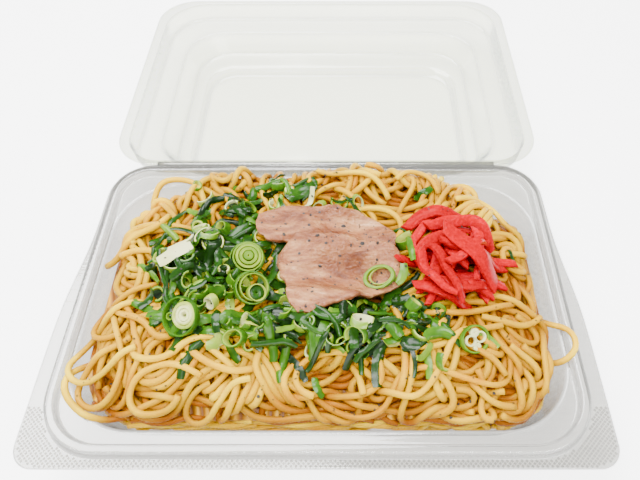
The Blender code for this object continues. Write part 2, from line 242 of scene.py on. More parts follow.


# %% [markdown]
# ## The clear sheet
#
# Such packs are pressed from polystyrene film about 0.3 mm thick. It is clear as glass, but so thin
# that it hardly bends what is seen through it, so no refraction is needed: a transparent shader lets
# the view through, and a glossy one on top gives the long soft lights. How much is gloss depends on
# how flat the eye looks along the film. Each layer takes a little light away. The grey lines along its
# bends, which refraction and dark reflections draw, are painted shade in its see-through colour, and
# the tray's is a warm grey throughout: painted shade and painted reflection.


# %% Clear polystyrene film
def clear_polystyrene(name, through_stops):
    made, tree, output = new_material(name)
    bend = add_node(tree, "ShaderNodeAttribute", {"attribute_name": "bend"}).outputs["Fac"]
    # Pressing draws the film out unevenly, which leaves fine streaks along the pack, 1 mm apart.
    places = add_node(tree, "ShaderNodeTexCoord").outputs["Object"]
    drawn = add_node(
        tree, "ShaderNodeMapping", {"Scale": (0.02, 1.0, 1.0)}, {"Vector": places}
    ).outputs["Vector"]
    streaks = add_node(
        tree, "ShaderNodeTexNoise", {"Scale": 1 / (1.4 * MM), "Detail": 2.0}, {"Vector": drawn}
    ).outputs["Fac"]
    uneven = add_node(
        tree, "ShaderNodeBump", {"Strength": 0.35, "Distance": 0.15 * MM}, {"Height": streaks}
    ).outputs["Normal"]
    facing = add_node(
        tree, "ShaderNodeLayerWeight", {"Blend": 0.5}, {"Normal": uneven}
    ).outputs["Facing"]
    # Looked along, the see-through colour greys, varied by the streaks: painted shade for the dark lines that
    # refraction and reflections draw at the bends.
    thicker = add_node(
        tree, "ShaderNodeMath", {"operation": "MULTIPLY_ADD", 1: 0.35}, {0: streaks, 2: facing}
    ).outputs[0]
    thicker = add_node(tree, "ShaderNodeMath", {"operation": "SUBTRACT", 1: 0.175}, {0: thicker}).outputs[0]
    through = colour_ramp(tree, thicker, through_stops)
    clear = add_node(tree, "ShaderNodeBsdfTransparent", links={"Color": through})
    gloss = add_node(tree, "ShaderNodeBsdfAnisotropic", {"Roughness": 0.07, "Color": linear("#FFFFFF")},
                     {"Normal": uneven})
    bounce = colour_ramp(tree, facing, [(0.0, "#4A4A4A"), (0.6, "#5C5C5C"), (0.85, "#8A8A8A"), (1.0, "#C8C8C8")])
    glossy = add_node(
        tree, "ShaderNodeMixShader", links={0: bounce, 1: clear.outputs[0], 2: gloss.outputs[0]}
    )
    # A trace of haze, as a pressed film is never quite clear. It crazes where it bends sharply.
    haze = add_node(tree, "ShaderNodeBsdfDiffuse", {"Color": linear("#D9DAD7")})
    haze_share = add_node(tree, "ShaderNodeMapRange", {3: 0.03, 4: 0.3}, {0: bend}).outputs[0]
    mixed = add_node(
        tree, "ShaderNodeMixShader", links={0: haze_share, 1: glossy.outputs[0], 2: haze.outputs[0]}
    )
    tree.links.new(mixed.outputs[0], output.inputs["Surface"])
    return made


# The tray's see-through colour is a warm grey even where it faces the eye: painted shade, with a painted reflection
# of the food's browns. Both films darken towards grazing angles with painted shade.
tray_sheet = clear_polystyrene(
    "clear_pressed_polystyrene_tray",
    [(0.0, "#D2D1CE"), (0.45, "#C9C8C5"), (0.7, "#B4B3B1"), (0.9, "#92918F"), (1.0, "#6A6A69")],
)
lid_sheet = clear_polystyrene(
    "clear_pressed_polystyrene_lid",
    [(0.0, "#F4F5EC"), (0.5, "#F1F2EA"), (0.75, "#D2D4D0"), (0.92, "#878A87"), (1.0, "#454645")],
)
print("made", tray_sheet.name, "and", lid_sheet.name)

# %% [markdown]
# ## Tray
#
# The tray is one film: a flat flange with wide ears at the front to pull by, a raised bead that the
# lid snaps over, a ledge, the leaning wall and the floor. A skin through stacked outlines draws its
# upper face. Solidify gives it the film's thickness, and a subdivision surface rounds each bend.

# %% Outlines of the tray
FLANGE_HALF_WIDTH = tray_high.x
FLANGE_FRONT_CORNER, HINGE_CORNER = 8.0, 19.0
FLANGE_NARROWER, FLANGE_WIDE_Y, FLANGE_SLIM_Y = 4.0, -15.0, 30.0


def bead_outline(inset):
    return rounded_outline(
        BEAD_HALF_WIDTH - inset, -BEAD_HALF_DEPTH + inset, BEAD_HALF_DEPTH - inset,
        BEAD_FRONT_CORNER - inset, BEAD_BACK_CORNER - inset,
    )


def mouth_outline(inset):
    depth = MOUTH_HALF_DEPTH - inset
    radius = MOUTH_CORNER - inset
    return rounded_outline(MOUTH_HALF_WIDTH - inset, -depth, depth, radius, radius)


def flange_outline(inset=0.0):
    """Wide ears at the front, and slimmer sides towards the hinge."""
    outline = []
    for x, y in rounded_outline(
        FLANGE_HALF_WIDTH - inset, -HINGE_Y + inset, HINGE_Y - HINGE_GAP / 2 - inset,
        FLANGE_FRONT_CORNER, HINGE_CORNER,
    ):
        slimmer = FLANGE_NARROWER * smooth_step(y, FLANGE_WIDE_Y, FLANGE_SLIM_Y)
        outline.append(Vector((x * (1 - slimmer / FLANGE_HALF_WIDTH), y)))
    return outline


def formed_sheet(name, levels, material, body):
    """Film pressed to the levels, which draw its upper, inner face. Each is (outline, height, bend)."""
    outline, z, _ = levels[-1]
    middle = sum(outline, Vector((0, 0))) / len(outline)
    closing = [([middle.lerp(point, share) for point in outline], z, 0) for share in (0.7, 0.4, 0.15, 0.03)]
    levels = [*levels, *closing]
    skin = stacked_skin(
        [[(x, y, z) for x, y in outline] for outline, z, _ in levels], bends=[bend for *_, bend in levels]
    )
    piece = put_in_scene(name, skin, material, body, 180)
    floor = max(piece.data.polygons, key=lambda face: face.area)
    if floor.normal.z < 0:
        piece.data.flip_normals()
    wall = piece.modifiers.new("film", "SOLIDIFY")
    wall.thickness = SHEET * MM
    wall.offset = -1.0
    bends = piece.modifiers.new("bends", "SUBSURF")
    bends.levels = bends.render_levels = 2
    return piece


# %% The tray itself
tray_levels = [
    (flange_outline(), RIM_Z, 1),
    (flange_outline(0.3), RIM_Z, 0.6),
    (flange_outline(1.0), RIM_Z, 0),
    (bead_outline(-0.8), RIM_Z, 0),
    (bead_outline(-0.4), RIM_Z, 0.8),
    (bead_outline(0.0), RIM_Z + 0.1, 1),
    (bead_outline(0.3), RIM_Z + BEAD_HEIGHT - 0.7, 0.2),
    (bead_outline(0.7), RIM_Z + BEAD_HEIGHT - 0.1, 0.8),
    (bead_outline(1.3), RIM_Z + BEAD_HEIGHT, 0),
    (bead_outline(BEAD_WIDTH - 1.3), RIM_Z + BEAD_HEIGHT, 0),
    (bead_outline(BEAD_WIDTH - 0.7), RIM_Z + BEAD_HEIGHT - 0.1, 0.8),
    (bead_outline(BEAD_WIDTH - 0.4), RIM_Z + BEAD_HEIGHT - 0.7, 0.2),
    (bead_outline(BEAD_WIDTH - 0.1), RIM_Z + 0.5, 0.8),
    (bead_outline(BEAD_WIDTH + 0.3), RIM_Z + 0.05, 0.6),
    (bead_outline(BEAD_WIDTH + 0.7), RIM_Z + 0.02, 0),
    (mouth_outline(-1.0), RIM_Z + 0.01, 0),
    (mouth_outline(-0.6), RIM_Z, 0.8),
    (mouth_outline(0.0), RIM_Z - 0.15, 1),
    (mouth_outline(0.5), RIM_Z - 0.8, 0.6),
    (mouth_outline(0.8), RIM_Z - 2.0, 0),
    (mouth_outline(0.7 + WALL_DRAFT), WALL_FOOT, 0.3),
    (mouth_outline(1.5 + WALL_DRAFT), WALL_FOOT - 1.4, 0.8),
    (mouth_outline(2.6 + WALL_DRAFT), FOOT + 0.2, 0.8),
    (mouth_outline(4.0 + WALL_DRAFT), FOOT, 0.2),
    (mouth_outline(12.0 + WALL_DRAFT), FOOT, 0),
]
tray = formed_sheet("tray_film", tray_levels, tray_sheet, "tray")
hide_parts("tray")
print("tray film over", len(tray_levels), "levels")

# %% [markdown]
# ## Lid
#
# The lid lies open, hollow side up. Its outer wall slips over the tray's bead when shut. Inside it a
# ledge, a dome wall, a sloped ledge and the flat roof step down. It hangs on the fold, and one body
# carries it, so it swings about the hinge and shuts over the food.

# %% Outlines of the lid
LID_HALF_WIDTH, LID_FAR_CORNER = lid_high.x, 20.0
LID_FAR_Y = lid_high.y
BEAD_CLEARANCE, SHOULDER_INSET, SHOULDER_DROP = 0.7, 2.8, 9.6
DOME_HALF_WIDTH, DOME_DROP, ROOF_HALF_WIDTH = 83.3, 20.6, 69.8


def lid_outline(half_width, near, far, near_radius, far_radius):
    """near and far are how far in from the fold and from the far edge the outline runs."""
    return rounded_outline(half_width, HINGE_Y + near, LID_FAR_Y - far, near_radius, far_radius)


def shoulder_outline(inset):
    edge = SHOULDER_INSET + inset
    return lid_outline(
        BEAD_HALF_WIDTH + BEAD_CLEARANCE - inset, edge, edge,
        BEAD_BACK_CORNER + BEAD_CLEARANCE - inset, BEAD_FRONT_CORNER + BEAD_CLEARANCE - inset,
    )


lid_levels = [
    (lid_outline(LID_HALF_WIDTH, HINGE_GAP / 2, 0.0, HINGE_CORNER, LID_FAR_CORNER), 0.0, 1),
    (lid_outline(LID_HALF_WIDTH - 0.3, HINGE_GAP / 2 + 0.3, 0.3, HINGE_CORNER, LID_FAR_CORNER), 0.0, 0.6),
    (shoulder_outline(-0.6), 0.0, 0.2),
    (shoulder_outline(-0.3), 0.0, 0.9),
    (shoulder_outline(0.1), 0.4, 1),
    (shoulder_outline(0.2), 1.6, 0.1),
    (shoulder_outline(0.7), SHOULDER_DROP - 1.4, 0.1),
    (shoulder_outline(1.0), SHOULDER_DROP - 0.4, 0.9),
    (shoulder_outline(1.8), SHOULDER_DROP, 0.9),
    (shoulder_outline(2.6), SHOULDER_DROP, 0),
    (lid_outline(DOME_HALF_WIDTH + 1.4, 7.4, 16.0, 19.0, 23.0), SHOULDER_DROP, 0),
    (lid_outline(DOME_HALF_WIDTH + 0.6, 8.0, 16.7, 18.5, 22.5), SHOULDER_DROP, 0.9),
    (lid_outline(DOME_HALF_WIDTH - 0.2, 8.9, 17.7, 18.0, 22.0), SHOULDER_DROP + 0.3, 1),
    (lid_outline(DOME_HALF_WIDTH - 0.7, 9.5, 18.2, 17.5, 21.5), SHOULDER_DROP + 1.0, 0.4),
    (lid_outline(DOME_HALF_WIDTH - 1.3, 9.8, 18.8, 17.2, 21.2), SHOULDER_DROP + 2.4, 0),
    (lid_outline(DOME_HALF_WIDTH - 5.2, 12.0, 22.4, 16.0, 19.0), DOME_DROP - 1.6, 0.1),
    (lid_outline(DOME_HALF_WIDTH - 5.6, 12.2, 22.9, 16.0, 19.0), DOME_DROP - 0.8, 0.9),
    (lid_outline(DOME_HALF_WIDTH - 6.1, 12.6, 23.4, 15.7, 18.7), DOME_DROP - 0.2, 1),
    (lid_outline(DOME_HALF_WIDTH - 7.2, 13.2, 24.9, 15.5, 18.5), DOME_DROP + 0.1, 0.2),
    (lid_outline(ROOF_HALF_WIDTH + 2.8, 14.0, 33.2, 14.4, 16.4), DOME_DROP + 1.0, 0.1),
    (lid_outline(ROOF_HALF_WIDTH + 2.3, 14.2, 34.0, 14.2, 16.2), DOME_DROP + 1.1, 0.9),
    (lid_outline(ROOF_HALF_WIDTH + 1.4, 14.8, 35.6, 14.0, 16.0), DOME_DROP + 1.9, 0.5),
    (lid_outline(ROOF_HALF_WIDTH + 0.4, 15.3, 38.2, 13.2, 15.2), RIM_Z - FOOT - 0.4, 0.9),
    (lid_outline(ROOF_HALF_WIDTH - 0.4, 16.1, 39.3, 12.8, 14.8), RIM_Z - FOOT, 1),
    (lid_outline(ROOF_HALF_WIDTH - 1.2, 17.0, 40.3, 12.4, 14.4), RIM_Z - FOOT, 0),
    (lid_outline(ROOF_HALF_WIDTH - 10.0, 26.0, 49.0, 6.0, 8.0), RIM_Z - FOOT, 0),
]
lid = formed_sheet(
    "lid_film", [(line, RIM_Z - drop, bend) for line, drop, bend in lid_levels], lid_sheet, "lid"
)
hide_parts("lid")
print("lid film over", len(lid_levels), "levels")

# %% [markdown]
# ## Where the noodles can lie
#
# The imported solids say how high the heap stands, where the tray is, and how low the shut lid comes.
# Rays straight down onto a solid give its height over a plan grid. Turning the lid's heights about the
# hinge gives the shut lid's ceiling, which the heap has to stay under.

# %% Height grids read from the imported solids
CELL = 1.0
GRID_X = np.arange(-102.0, 102.5, CELL)
GRID_Y = np.arange(-70.0, 70.5, CELL)
HINGE_Z = hinge["pos_m"][2] / MM


def heights_over(node, places_y):
    """How high the node's solid stands over each grid place, in millimetres."""
    solid = bmesh.new()
    solid.from_mesh(frame["nodes"][node].data)
    tree = BVHTree.FromBMesh(solid)
    solid.free()
    down, start = Vector((0, 0, -1)), 4 * RIM_Z * MM
    heights = np.zeros((len(places_y), len(GRID_X)))
    for row, y in enumerate(places_y):
        for column, x in enumerate(GRID_X):
            hit = tree.ray_cast(Vector((x * MM, y * MM, start)), down)[0]
            heights[row, column] = hit.z / MM if hit else 0.0
    return heights


def look_up(grid, x, y, cell=CELL):
    """The grid's value between its places."""
    column = np.clip((x - GRID_X[0]) / cell, 0, grid.shape[1] - 1.001)
    row = np.clip((y - GRID_Y[0]) / cell, 0, grid.shape[0] - 1.001)
    left, low = column.astype(int), row.astype(int)
    across, up = column - left, row - low
    lower = grid[low, left] * (1 - across) + grid[low, left + 1] * across
    upper = grid[low + 1, left] * (1 - across) + grid[low + 1, left + 1] * across
    return lower * (1 - up) + upper * up


heap_grid = heights_over("noodles", GRID_Y)
tray_grid = heights_over("tray", GRID_Y)
ceiling_grid = 2 * HINGE_Z - heights_over("lid", 2 * HINGE_Y - GRID_Y)
print("heap stands up to", round(float(heap_grid.max()), 1), "mm, under a lid at",
      round(float(ceiling_grid[70, 102]), 1), "mm")

# %% [markdown]
# Real noodles fill only the outer few millimetres of the heap here. Under them is a plain core, as
# nobody sees it. Towards the back corners of the tray the heap falls away and leaves the sheet bare.

# %% The ground under the noodles
NOODLE_RADIUS = 1.22
SHELL = 9.6
HEAP_BACK, HEAP_BACK_AT_SIDES = 57.0, 31.0
HEAP_TURN_START, HEAP_TURN_END = 38.0, 84.0
CORNER_SLOPE = 0.6
HEAP_SLACK = 0.6


def rounded_box_gap(x, y, half_width, half_depth, radius, middle_y=0.0):
    """How far outside a rounded rectangle a place is, and the way out."""
    over_x = np.abs(x) - (half_width - radius)
    over_y = np.abs(y - middle_y) - (half_depth - radius)
    out_x, out_y = np.maximum(over_x, 0), np.maximum(over_y, 0)
    out = np.hypot(out_x, out_y)
    gap = out + np.minimum(np.maximum(over_x, over_y), 0) - radius
    within = out < 1e-9
    way_x = np.where(within, over_x > over_y, out_x / np.maximum(out, 1e-9)) * np.sign(x)
    way_y = np.where(within, over_x <= over_y, out_y / np.maximum(out, 1e-9)) * np.sign(y - middle_y)
    return gap, way_x, way_y


def heap_back(x):
    """Where the heap's back edge runs: near the fold in the middle, further forward at its sides."""
    return HEAP_BACK - (HEAP_BACK - HEAP_BACK_AT_SIDES) * smooth_step(
        np.abs(x), HEAP_TURN_START, HEAP_TURN_END
    )


def corner_ceiling(x, y):
    """How high noodles reach behind the heap's back edge, where they fall away."""
    behind = y - heap_back(x)
    return np.where(behind > 0, RIM_Z - behind / CORNER_SLOPE, 2 * RIM_Z)


def core_height(x, y):
    """Top of the plain core."""
    gap = rounded_box_gap(x, y, MOUTH_HALF_WIDTH, MOUTH_HALF_DEPTH, MOUTH_CORNER)[0]
    inset = np.clip(-gap / 8.0, 0, 1)
    height = (look_up(heap_grid, x, y) - SHELL) * inset + (RIM_Z - 7) * (1 - inset)
    return np.minimum(height, corner_ceiling(x, y) - 3)


def noodle_floor(x, y):
    """Lowest centre line of a noodle on the core, the ledge or the bead."""
    gap = rounded_box_gap(x, y, MOUTH_HALF_WIDTH, MOUTH_HALF_DEPTH, MOUTH_CORNER)[0]
    core = np.where(gap < 0, core_height(x, y), 0.0)
    return np.maximum(core, look_up(tray_grid, x, y)) + NOODLE_RADIUS + 0.1


def noodle_ceiling(x, y):
    """Highest centre line of a noodle under the shut lid."""
    heap = np.maximum(look_up(heap_grid, x, y) + HEAP_SLACK, RIM_Z + 9)
    return np.minimum(look_up(ceiling_grid, x, y), heap) - NOODLE_RADIUS - 0.2


print("core under the middle at", round(float(core_height(np.array([0.0]), np.array([0.0]))[0]), 1), "mm")

# %% [markdown]
# ## How the noodles are laid
#
# A real heap gets its looks from how limp strands fall on each other. So each strand starts as a
# wandering line in plan, drops, and settles on the strands below. The solver moves points a little at
# a time: gravity pulls, strands keep their length, touching strands push apart, and each strand
# resists a sharper bend than it started with. A seeded generator makes every run the same.

# %% Wandering strands
STEP = 2.1
rng = np.random.default_rng(7)


def slow_noise(count, spacing):
    """Noise of unit size that turns over about spacing points."""
    window = np.hanning(2 * spacing + 1)
    raw = np.convolve(rng.normal(0, 1, count + 2 * spacing), window, "valid")
    return raw / math.sqrt((window * window).sum())


def region_gap(x, y, half_width, half_depth, radius, slack):
    """Distance outside the heap in plan, with its back edge, and the way out."""
    gap, way_x, way_y = rounded_box_gap(x, y, half_width, half_depth, radius)
    behind = y - heap_back(x) - slack
    back = behind > gap
    return np.where(back, behind, gap), np.where(back, 0, way_x), np.where(back, 1, way_y)


def wander(count, start, heading, bend, region):
    """A strand's plan: its heading drifts by the bends, and turns back near the region's edge."""
    points = [start]
    for turn in bend[:count - 1]:
        x, y = points[-1]
        gap, way_x, way_y = region(x, y)
        if gap > -12:
            along_x, along_y = math.cos(heading), math.sin(heading)
            outward = along_x * way_x + along_y * way_y
            side = along_x * way_y - along_y * way_x
            if outward > -0.15:
                near = min((gap + 12) / 12, 1.3)
                turn = -math.copysign(0.07 + 0.25 * near, side) * (0.35 + max(outward, 0)) + 0.3 * turn
        heading += turn
        points.append((x + STEP * math.cos(heading), y + STEP * math.sin(heading)))
    return np.array(points)


def respaced(path, step=STEP):
    """The path with its points one step apart."""
    lengths = np.concatenate([[0], np.cumsum(np.linalg.norm(np.diff(path, axis=0), axis=1))])
    places = np.arange(0, lengths[-1], step)
    return np.column_stack([np.interp(places, lengths, column) for column in path.T])


def strand_bundles(points_wanted, start_low, start_high, region, curl=(0.07, 0.17), spread=0.8):
    """Strands in plan. Some lie side by side in twos and threes, as they come from the pan."""
    strands, made = [], 0
    while made < points_wanted:
        count = int(rng.uniform(60, 170))
        start = tuple(rng.uniform(start_low, start_high))
        heading = rng.normal(0, spread) + (math.pi if rng.random() < 0.5 else 0)
        bend = slow_noise(count, int(rng.uniform(7, 13))) * rng.uniform(*curl) + rng.normal(0, 0.025)
        middle = wander(count, start, heading, bend, region)
        along = np.gradient(middle, axis=0)
        along /= np.linalg.norm(along, axis=1)[:, None]
        side = np.column_stack([-along[:, 1], along[:, 0]])
        beside = rng.choice([1, 1, 2, 3])
        for number in range(beside):
            offset = (number - (beside - 1) / 2) * 2.7 + slow_noise(count, 12) * 0.8
            first, last = int(rng.uniform(0, count * 0.15)), count - int(rng.uniform(0, count * 0.15))
            strands.append(respaced((middle + side * offset[:, None])[first:last]))
            made += len(strands[-1])
    return strands


# %% The solver
TUCK = 32  # how many strands down a strand's ends are tucked


def near_pairs(points, reach):
    """All pairs of points nearer than reach, found by sorting them into cells."""
    cells = np.floor(points / reach).astype(np.int64)
    cells -= cells.min(axis=0)
    size = cells.max(axis=0) + 3
    key = (cells[:, 0] * size[1] + cells[:, 1]) * size[2] + cells[:, 2]
    order = np.argsort(key, kind="stable")
    sorted_key = key[order]
    firsts, seconds = [], []
    for step in [(x, y, z) for x in (-1, 0, 1) for y in (-1, 0, 1) for z in (-1, 0, 1)]:
        offset = (step[0] * size[1] + step[1]) * size[2] + step[2]
        if offset < 0:
            continue
        low = np.searchsorted(sorted_key, sorted_key + offset, "left")
        high = np.searchsorted(sorted_key, sorted_key + offset, "right")
        if offset == 0:
            low = np.minimum(np.arange(len(key)) + 1, high)
        found = high - low
        before = np.cumsum(found) - found
        firsts.append(order[np.repeat(np.arange(len(key)), found)])
        seconds.append(order[np.arange(found.sum()) + np.repeat(low - before, found)])
    first, second = np.concatenate(firsts), np.concatenate(seconds)
    apart = points[first] - points[second]
    near = (apart * apart).sum(axis=1) < reach * reach
    return first[near], second[near]


def settled(strands, floor, ceiling, confine, pins, steps, lift=0.3, drop=0.085):
    """The strands' points after they fell onto each other, as (points, strand number of each).

    A strand starts above the ones before it. It weaves up and down among them, and its ends are tucked
    in under its neighbours.
    """
    counts = [len(strand) for strand in strands]
    number = np.repeat(np.arange(len(strands)), counts)
    place = np.concatenate([np.arange(count) for count in counts])
    plan = np.concatenate(strands)
    hold = np.repeat(pins, counts)[:, None]
    from_end = np.minimum(place, np.repeat(counts, counts) - 1 - place)
    weave = np.concatenate([slow_noise(count, 9) for count in counts]) * 5
    rank = np.maximum(number + weave * (pins[number] == 0) - TUCK * np.clip(1 - from_end / 9, 0, 1), 0)
    points = np.column_stack([plan, floor(plan[:, 0], plan[:, 1]) + 2 + rank * lift])
    inner = np.flatnonzero(number[1:] == number[:-1])
    links = [inner[place[inner] % 2 == parity] for parity in (0, 1)]
    bends = np.flatnonzero(number[2:] == number[:-2])
    sagitta = (points[bends] + points[bends + 2]) / 2 - points[bends + 1]
    sagitta[:, 2] = 0
    speed = np.zeros_like(points)
    for step in range(steps):
        speed = speed * 0.9 - (0, 0, drop)
        speed *= np.minimum(1, 0.9 / np.maximum(np.linalg.norm(speed, axis=1), 1e-9))[:, None]
        before = points.copy()
        points = points + speed
        if step % 3 == 0:
            first, second = near_pairs(points, 2 * NOODLE_RADIUS + 1.0)
            apart = (number[first] != number[second]) | (np.abs(place[first] - place[second]) > 3)
            first, second = first[apart], second[apart]
        for _ in range(4):
            gap = points[first] - points[second]
            length = np.sqrt((gap * gap).sum(axis=1)) + 1e-9
            hit = length < 2 * NOODLE_RADIUS
            one, other = first[hit], second[hit]
            push = gap[hit] * ((2 * NOODLE_RADIUS - length[hit]) / length[hit] * 0.65)[:, None]
            touches = np.bincount(one, minlength=len(points)) + np.bincount(other, minlength=len(points))
            share = 1 / np.maximum(touches, 1)
            for axis in range(3):
                moved = np.bincount(one, push[:, axis], len(points))
                moved -= np.bincount(other, push[:, axis], len(points))
                points[:, axis] += moved * share
            for link in links:
                gap = points[link + 1] - points[link]
                length = np.sqrt((gap * gap).sum(axis=1)) + 1e-9
                change = gap * ((length - STEP) / length * 0.5)[:, None]
                points[link] += change
                points[link + 1] -= change
            stray = ((points[bends] + points[bends + 2]) / 2 - points[bends + 1] - sagitta) * 0.3
            points[bends + 1] += stray
            np.subtract.at(points, bends, stray * 0.5)
            np.subtract.at(points, bends + 2, stray * 0.5)
            low = floor(points[:, 0], points[:, 1])
            points[:, 2] = np.maximum(points[:, 2], low)
            points[:, :2] = confine(points, hold[:, 0] > 0)
            if step > steps * 0.55:
                over = np.maximum(points[:, 2] - ceiling(points[:, 0], points[:, 1]), 0)
                points[:, 0] -= np.sign(points[:, 0]) * over * 0.2
                points[:, 2] -= over * 0.6
            points[:, :2] += (plan - points[:, :2]) * hold
        speed = points - before
    points[:, 2] = np.minimum(points[:, 2], np.maximum(ceiling(points[:, 0], points[:, 1]), low))
    for _ in range(2):
        middle = (points[bends] + points[bends + 2]) / 2
        points[bends + 1] += (middle - points[bends + 1]) * 0.4
    return points, number

# %% [markdown]
# The strands that lie on top are what the eye follows, so they aren't left to chance. They are drawn in
# plan as a few points each and smoothed: loops at the left and right front, long waves between them,
# and single strands that wander off over the back corners and onto the ledge.

# %% The strands on top
TOP_STRANDS = (
    ((-62, -41.5), (-56, -43.5), (-48, -45.2), (-40, -46.7), (-33, -47.5)),
    ((-58.8, -44), (-57.2, -46.7), (-54, -48.5), (-50, -48), (-47.3, -46)),
    ((-64, -53), (-57, -54.2), (-51, -53.5), (-45, -52), (-37, -51.5)),
    ((-45, -20), (-40, -24), (-34, -26.3), (-26, -27), (-18, -26)),
    ((-13, -46.5), (-17, -47), (-19.3, -49.5), (-18, -52.5), (-13, -53.5), (-7, -53.2), (-1, -52)),
    ((14.5, -47), (18.8, -49.3), (23, -51.5), (28, -52.3)),
    ((74, -34), (75.5, -39), (75.5, -44), (73, -48.5), (69, -51.8), (64, -54.3), (58, -55.5)),
    ((38, -23.5), (43, -26.5), (49, -29), (55, -31), (59.5, -33.8), (61.5, -37), (63, -40.5)),
    ((72, -44.5), (67, -47.5), (62, -50.5), (57, -53.5), (50, -54.2), (43, -54)),
    ((-73, -31), (-80, -31.5), (-85, -34.5), (-87, -39), (-85, -44), (-81, -48), (-77, -51.5),
     (-71, -53), (-64, -53.5)),
    ((-67, -12), (-68.5, -20), (-67.8, -29), (-66, -37), (-66, -42.5), (-69, -46), (-74, -48.2),
     (-79, -47)),
    ((-70, -16), (-73.5, -23), (-75, -30), (-75.5, -37), (-74, -43)),
    ((-77, 45), (-75, 51), (-72, 55), (-66, 56), (-57, 54), (-55, 50), (-55, 44), (-58, 37)),
    ((-66, 35), (-72, 34), (-77, 33), (-81, 31), (-82, 25.5), (-81.5, 19), (-80, 14), (-78, 8)),
    ((-79.5, 14), (-79.5, 7), (-79.5, 3), (-78, -1.5), (-75.5, -8), (-73, -12)),
    ((-77.5, 9.5), (-72, 10.5), (-66.5, 10), (-60, 8)),
    ((52, 33), (58, 35), (63.5, 35.5), (69, 32), (72.5, 28.5), (75.5, 25), (81, 22.5), (81, 17),
     (80, 10.5), (80, 3)),
    ((36, -17.5), (42, -18.3), (49, -18.7), (56, -17), (63, -14.2), (70, -12), (74, -8), (74, -3),
     (72, 2)),
    ((28, -40), (32, -36.5), (37, -36), (41, -39), (44, -43.5), (45.8, -48), (43, -50.2), (38, -50.4),
     (34.2, -51.5), (33.6, -54), (37, -55.5), (43, -54), (49, -52), (55.5, -50.2), (60, -47)),
    ((-20, -33), (-22.5, -36), (-20, -39.5), (-17.5, -43), (-14, -47), (-10, -49.2), (-4, -49.6),
     (2, -48.8), (8, -47.8)),
    ((-62, -22), (-63.5, -28), (-62, -33), (-57.5, -35.2), (-52, -35), (-47.5, -32.5), (-44, -29.2),
     (-39, -27.8), (-33, -27.6), (-27, -28)),
    ((-45, -31), (-40, -34.3), (-34, -37.2), (-26, -38), (-20, -37)),
    ((-6, -35), (-9.5, -37), (-11.7, -40.5), (-11.2, -44), (-8, -47.3), (-3, -48.5)),
    ((-1, -47), (-5, -45.5), (-7.5, -42), (-7, -38), (-4, -35), (1, -33.2), (7, -32.6), (12, -33.5),
     (18, -37)),
    ((66, -24), (70, -28), (75, -28.8), (78.5, -31.5), (78.8, -35), (76, -37), (72, -35.5),
     (69.5, -31.5), (67, -27)),
    ((80, -13), (84, -16), (88, -19), (90.8, -23), (91, -27), (88.5, -30.5), (84, -32), (79, -31)),
    ((-72, -14), (-78, -15.8), (-83, -17.5), (-86.5, -21), (-86, -25.5), (-82.5, -29), (-78, -27.5),
     (-74, -24)),
    ((28, -27), (33, -25.2), (39, -24), (45, -22.3), (51, -19.5)),
    ((57, -18), (62, -20.2), (68, -20.8), (73, -20), (78, -17.5), (81, -14)),
    ((50.3, -40.8), (53.5, -44.8), (57.5, -47.8), (62, -48.8), (67, -48)),
    ((64, -21), (57, -23.6), (50.5, -24), (45, -28), (42.6, -34.5), (38.6, -41), (34, -45.8), (30, -47), (25, -45),
     (19, -43.5)),
    ((29, -23), (24, -27), (20.5, -31), (20.2, -35), (21.7, -39), (21, -42.5), (17, -45), (12, -46),
     (6, -45.5), (1.5, -43.5), (-1, -40)),
    ((-76, -13), (-70, -17), (-63, -19.8), (-59, -23), (-56.5, -26.5), (-53, -27.3), (-49, -25)),
    ((-35.5, -41.5), (-40, -43), (-43.5, -46), (-44.5, -49.5), (-43.5, -52.5), (-40, -54), (-36, -53),
     (-33.5, -50.5), (-31.5, -46), (-30, -43), (-27.5, -41), (-21, -41.3)),
    ((-38, -40.5), (-45, -37), (-52, -36), (-58, -38), (-62, -42), (-62.5, -47), (-58, -50.5),
     (-51, -50.5), (-46, -48), (-44, -44)),
    ((-9, -50.8), (0, -51.2), (7, -52.8), (13, -54.2), (19, -55.6)),
    ((-87, 10), (-82, 10.5), (-77, 16), (-73, 20), (-69, 21), (-64, 22.5), (-60.5, 28.5)),
    ((30, 41), (33, 45), (37.5, 47), (42, 45), (46, 40), (48, 35.5)),
    ((-14.5, 42.5), (-10, 46), (-5, 49), (2, 51), (11.5, 51), (16, 48), (20, 44.5), (25.5, 41.5)),
    ((-3, 47), (6.5, 45), (14, 44.5), (21, 42), (26, 37.5), (26, 31.5)),
    ((5, 39.5), (9.5, 36), (14.5, 32)),
    ((-64, -26), (-71, -29), (-78, -34), (-82, -40), (-81, -46), (-75, -49), (-69, -46), (-66, -39),
     (-67, -31), (-71, -22), (-75, -15)),
    ((-62, -12), (-70, -13), (-78, -18), (-84, -25), (-87, -32), (-86, -38), (-80, -41), (-73, -38),
     (-67, -33), (-60, -30)),
    ((-60, -4), (-68, -6), (-76, -10), (-81, -15), (-82, -21), (-78, -25), (-71, -24), (-65, -19)),
    ((60, -8), (68, -10), (77, -14), (84, -19), (86, -25), (82, -30), (75, -31), (68, -28)),
)


def smoothed(points, parts=8):
    """A Catmull-Rom curve through the points."""
    ends = [2 * np.array(points[0]) - points[1], *map(np.array, points)]
    ends.append(2 * ends[-1] - ends[-2])
    path = []
    for a, b, c, d in zip(ends, ends[1:], ends[2:], ends[3:]):
        for t in np.arange(parts) / parts:
            path.append(0.5 * (2 * b + (c - a) * t + (2 * a - 5 * b + 4 * c - d) * t**2
                               + (3 * b - a - 3 * c + d) * t**3))
    return np.array([*path, ends[-2]])


FRONT_SPREAD = 0.0003  # for each mm towards the front, the strands lie this much further apart


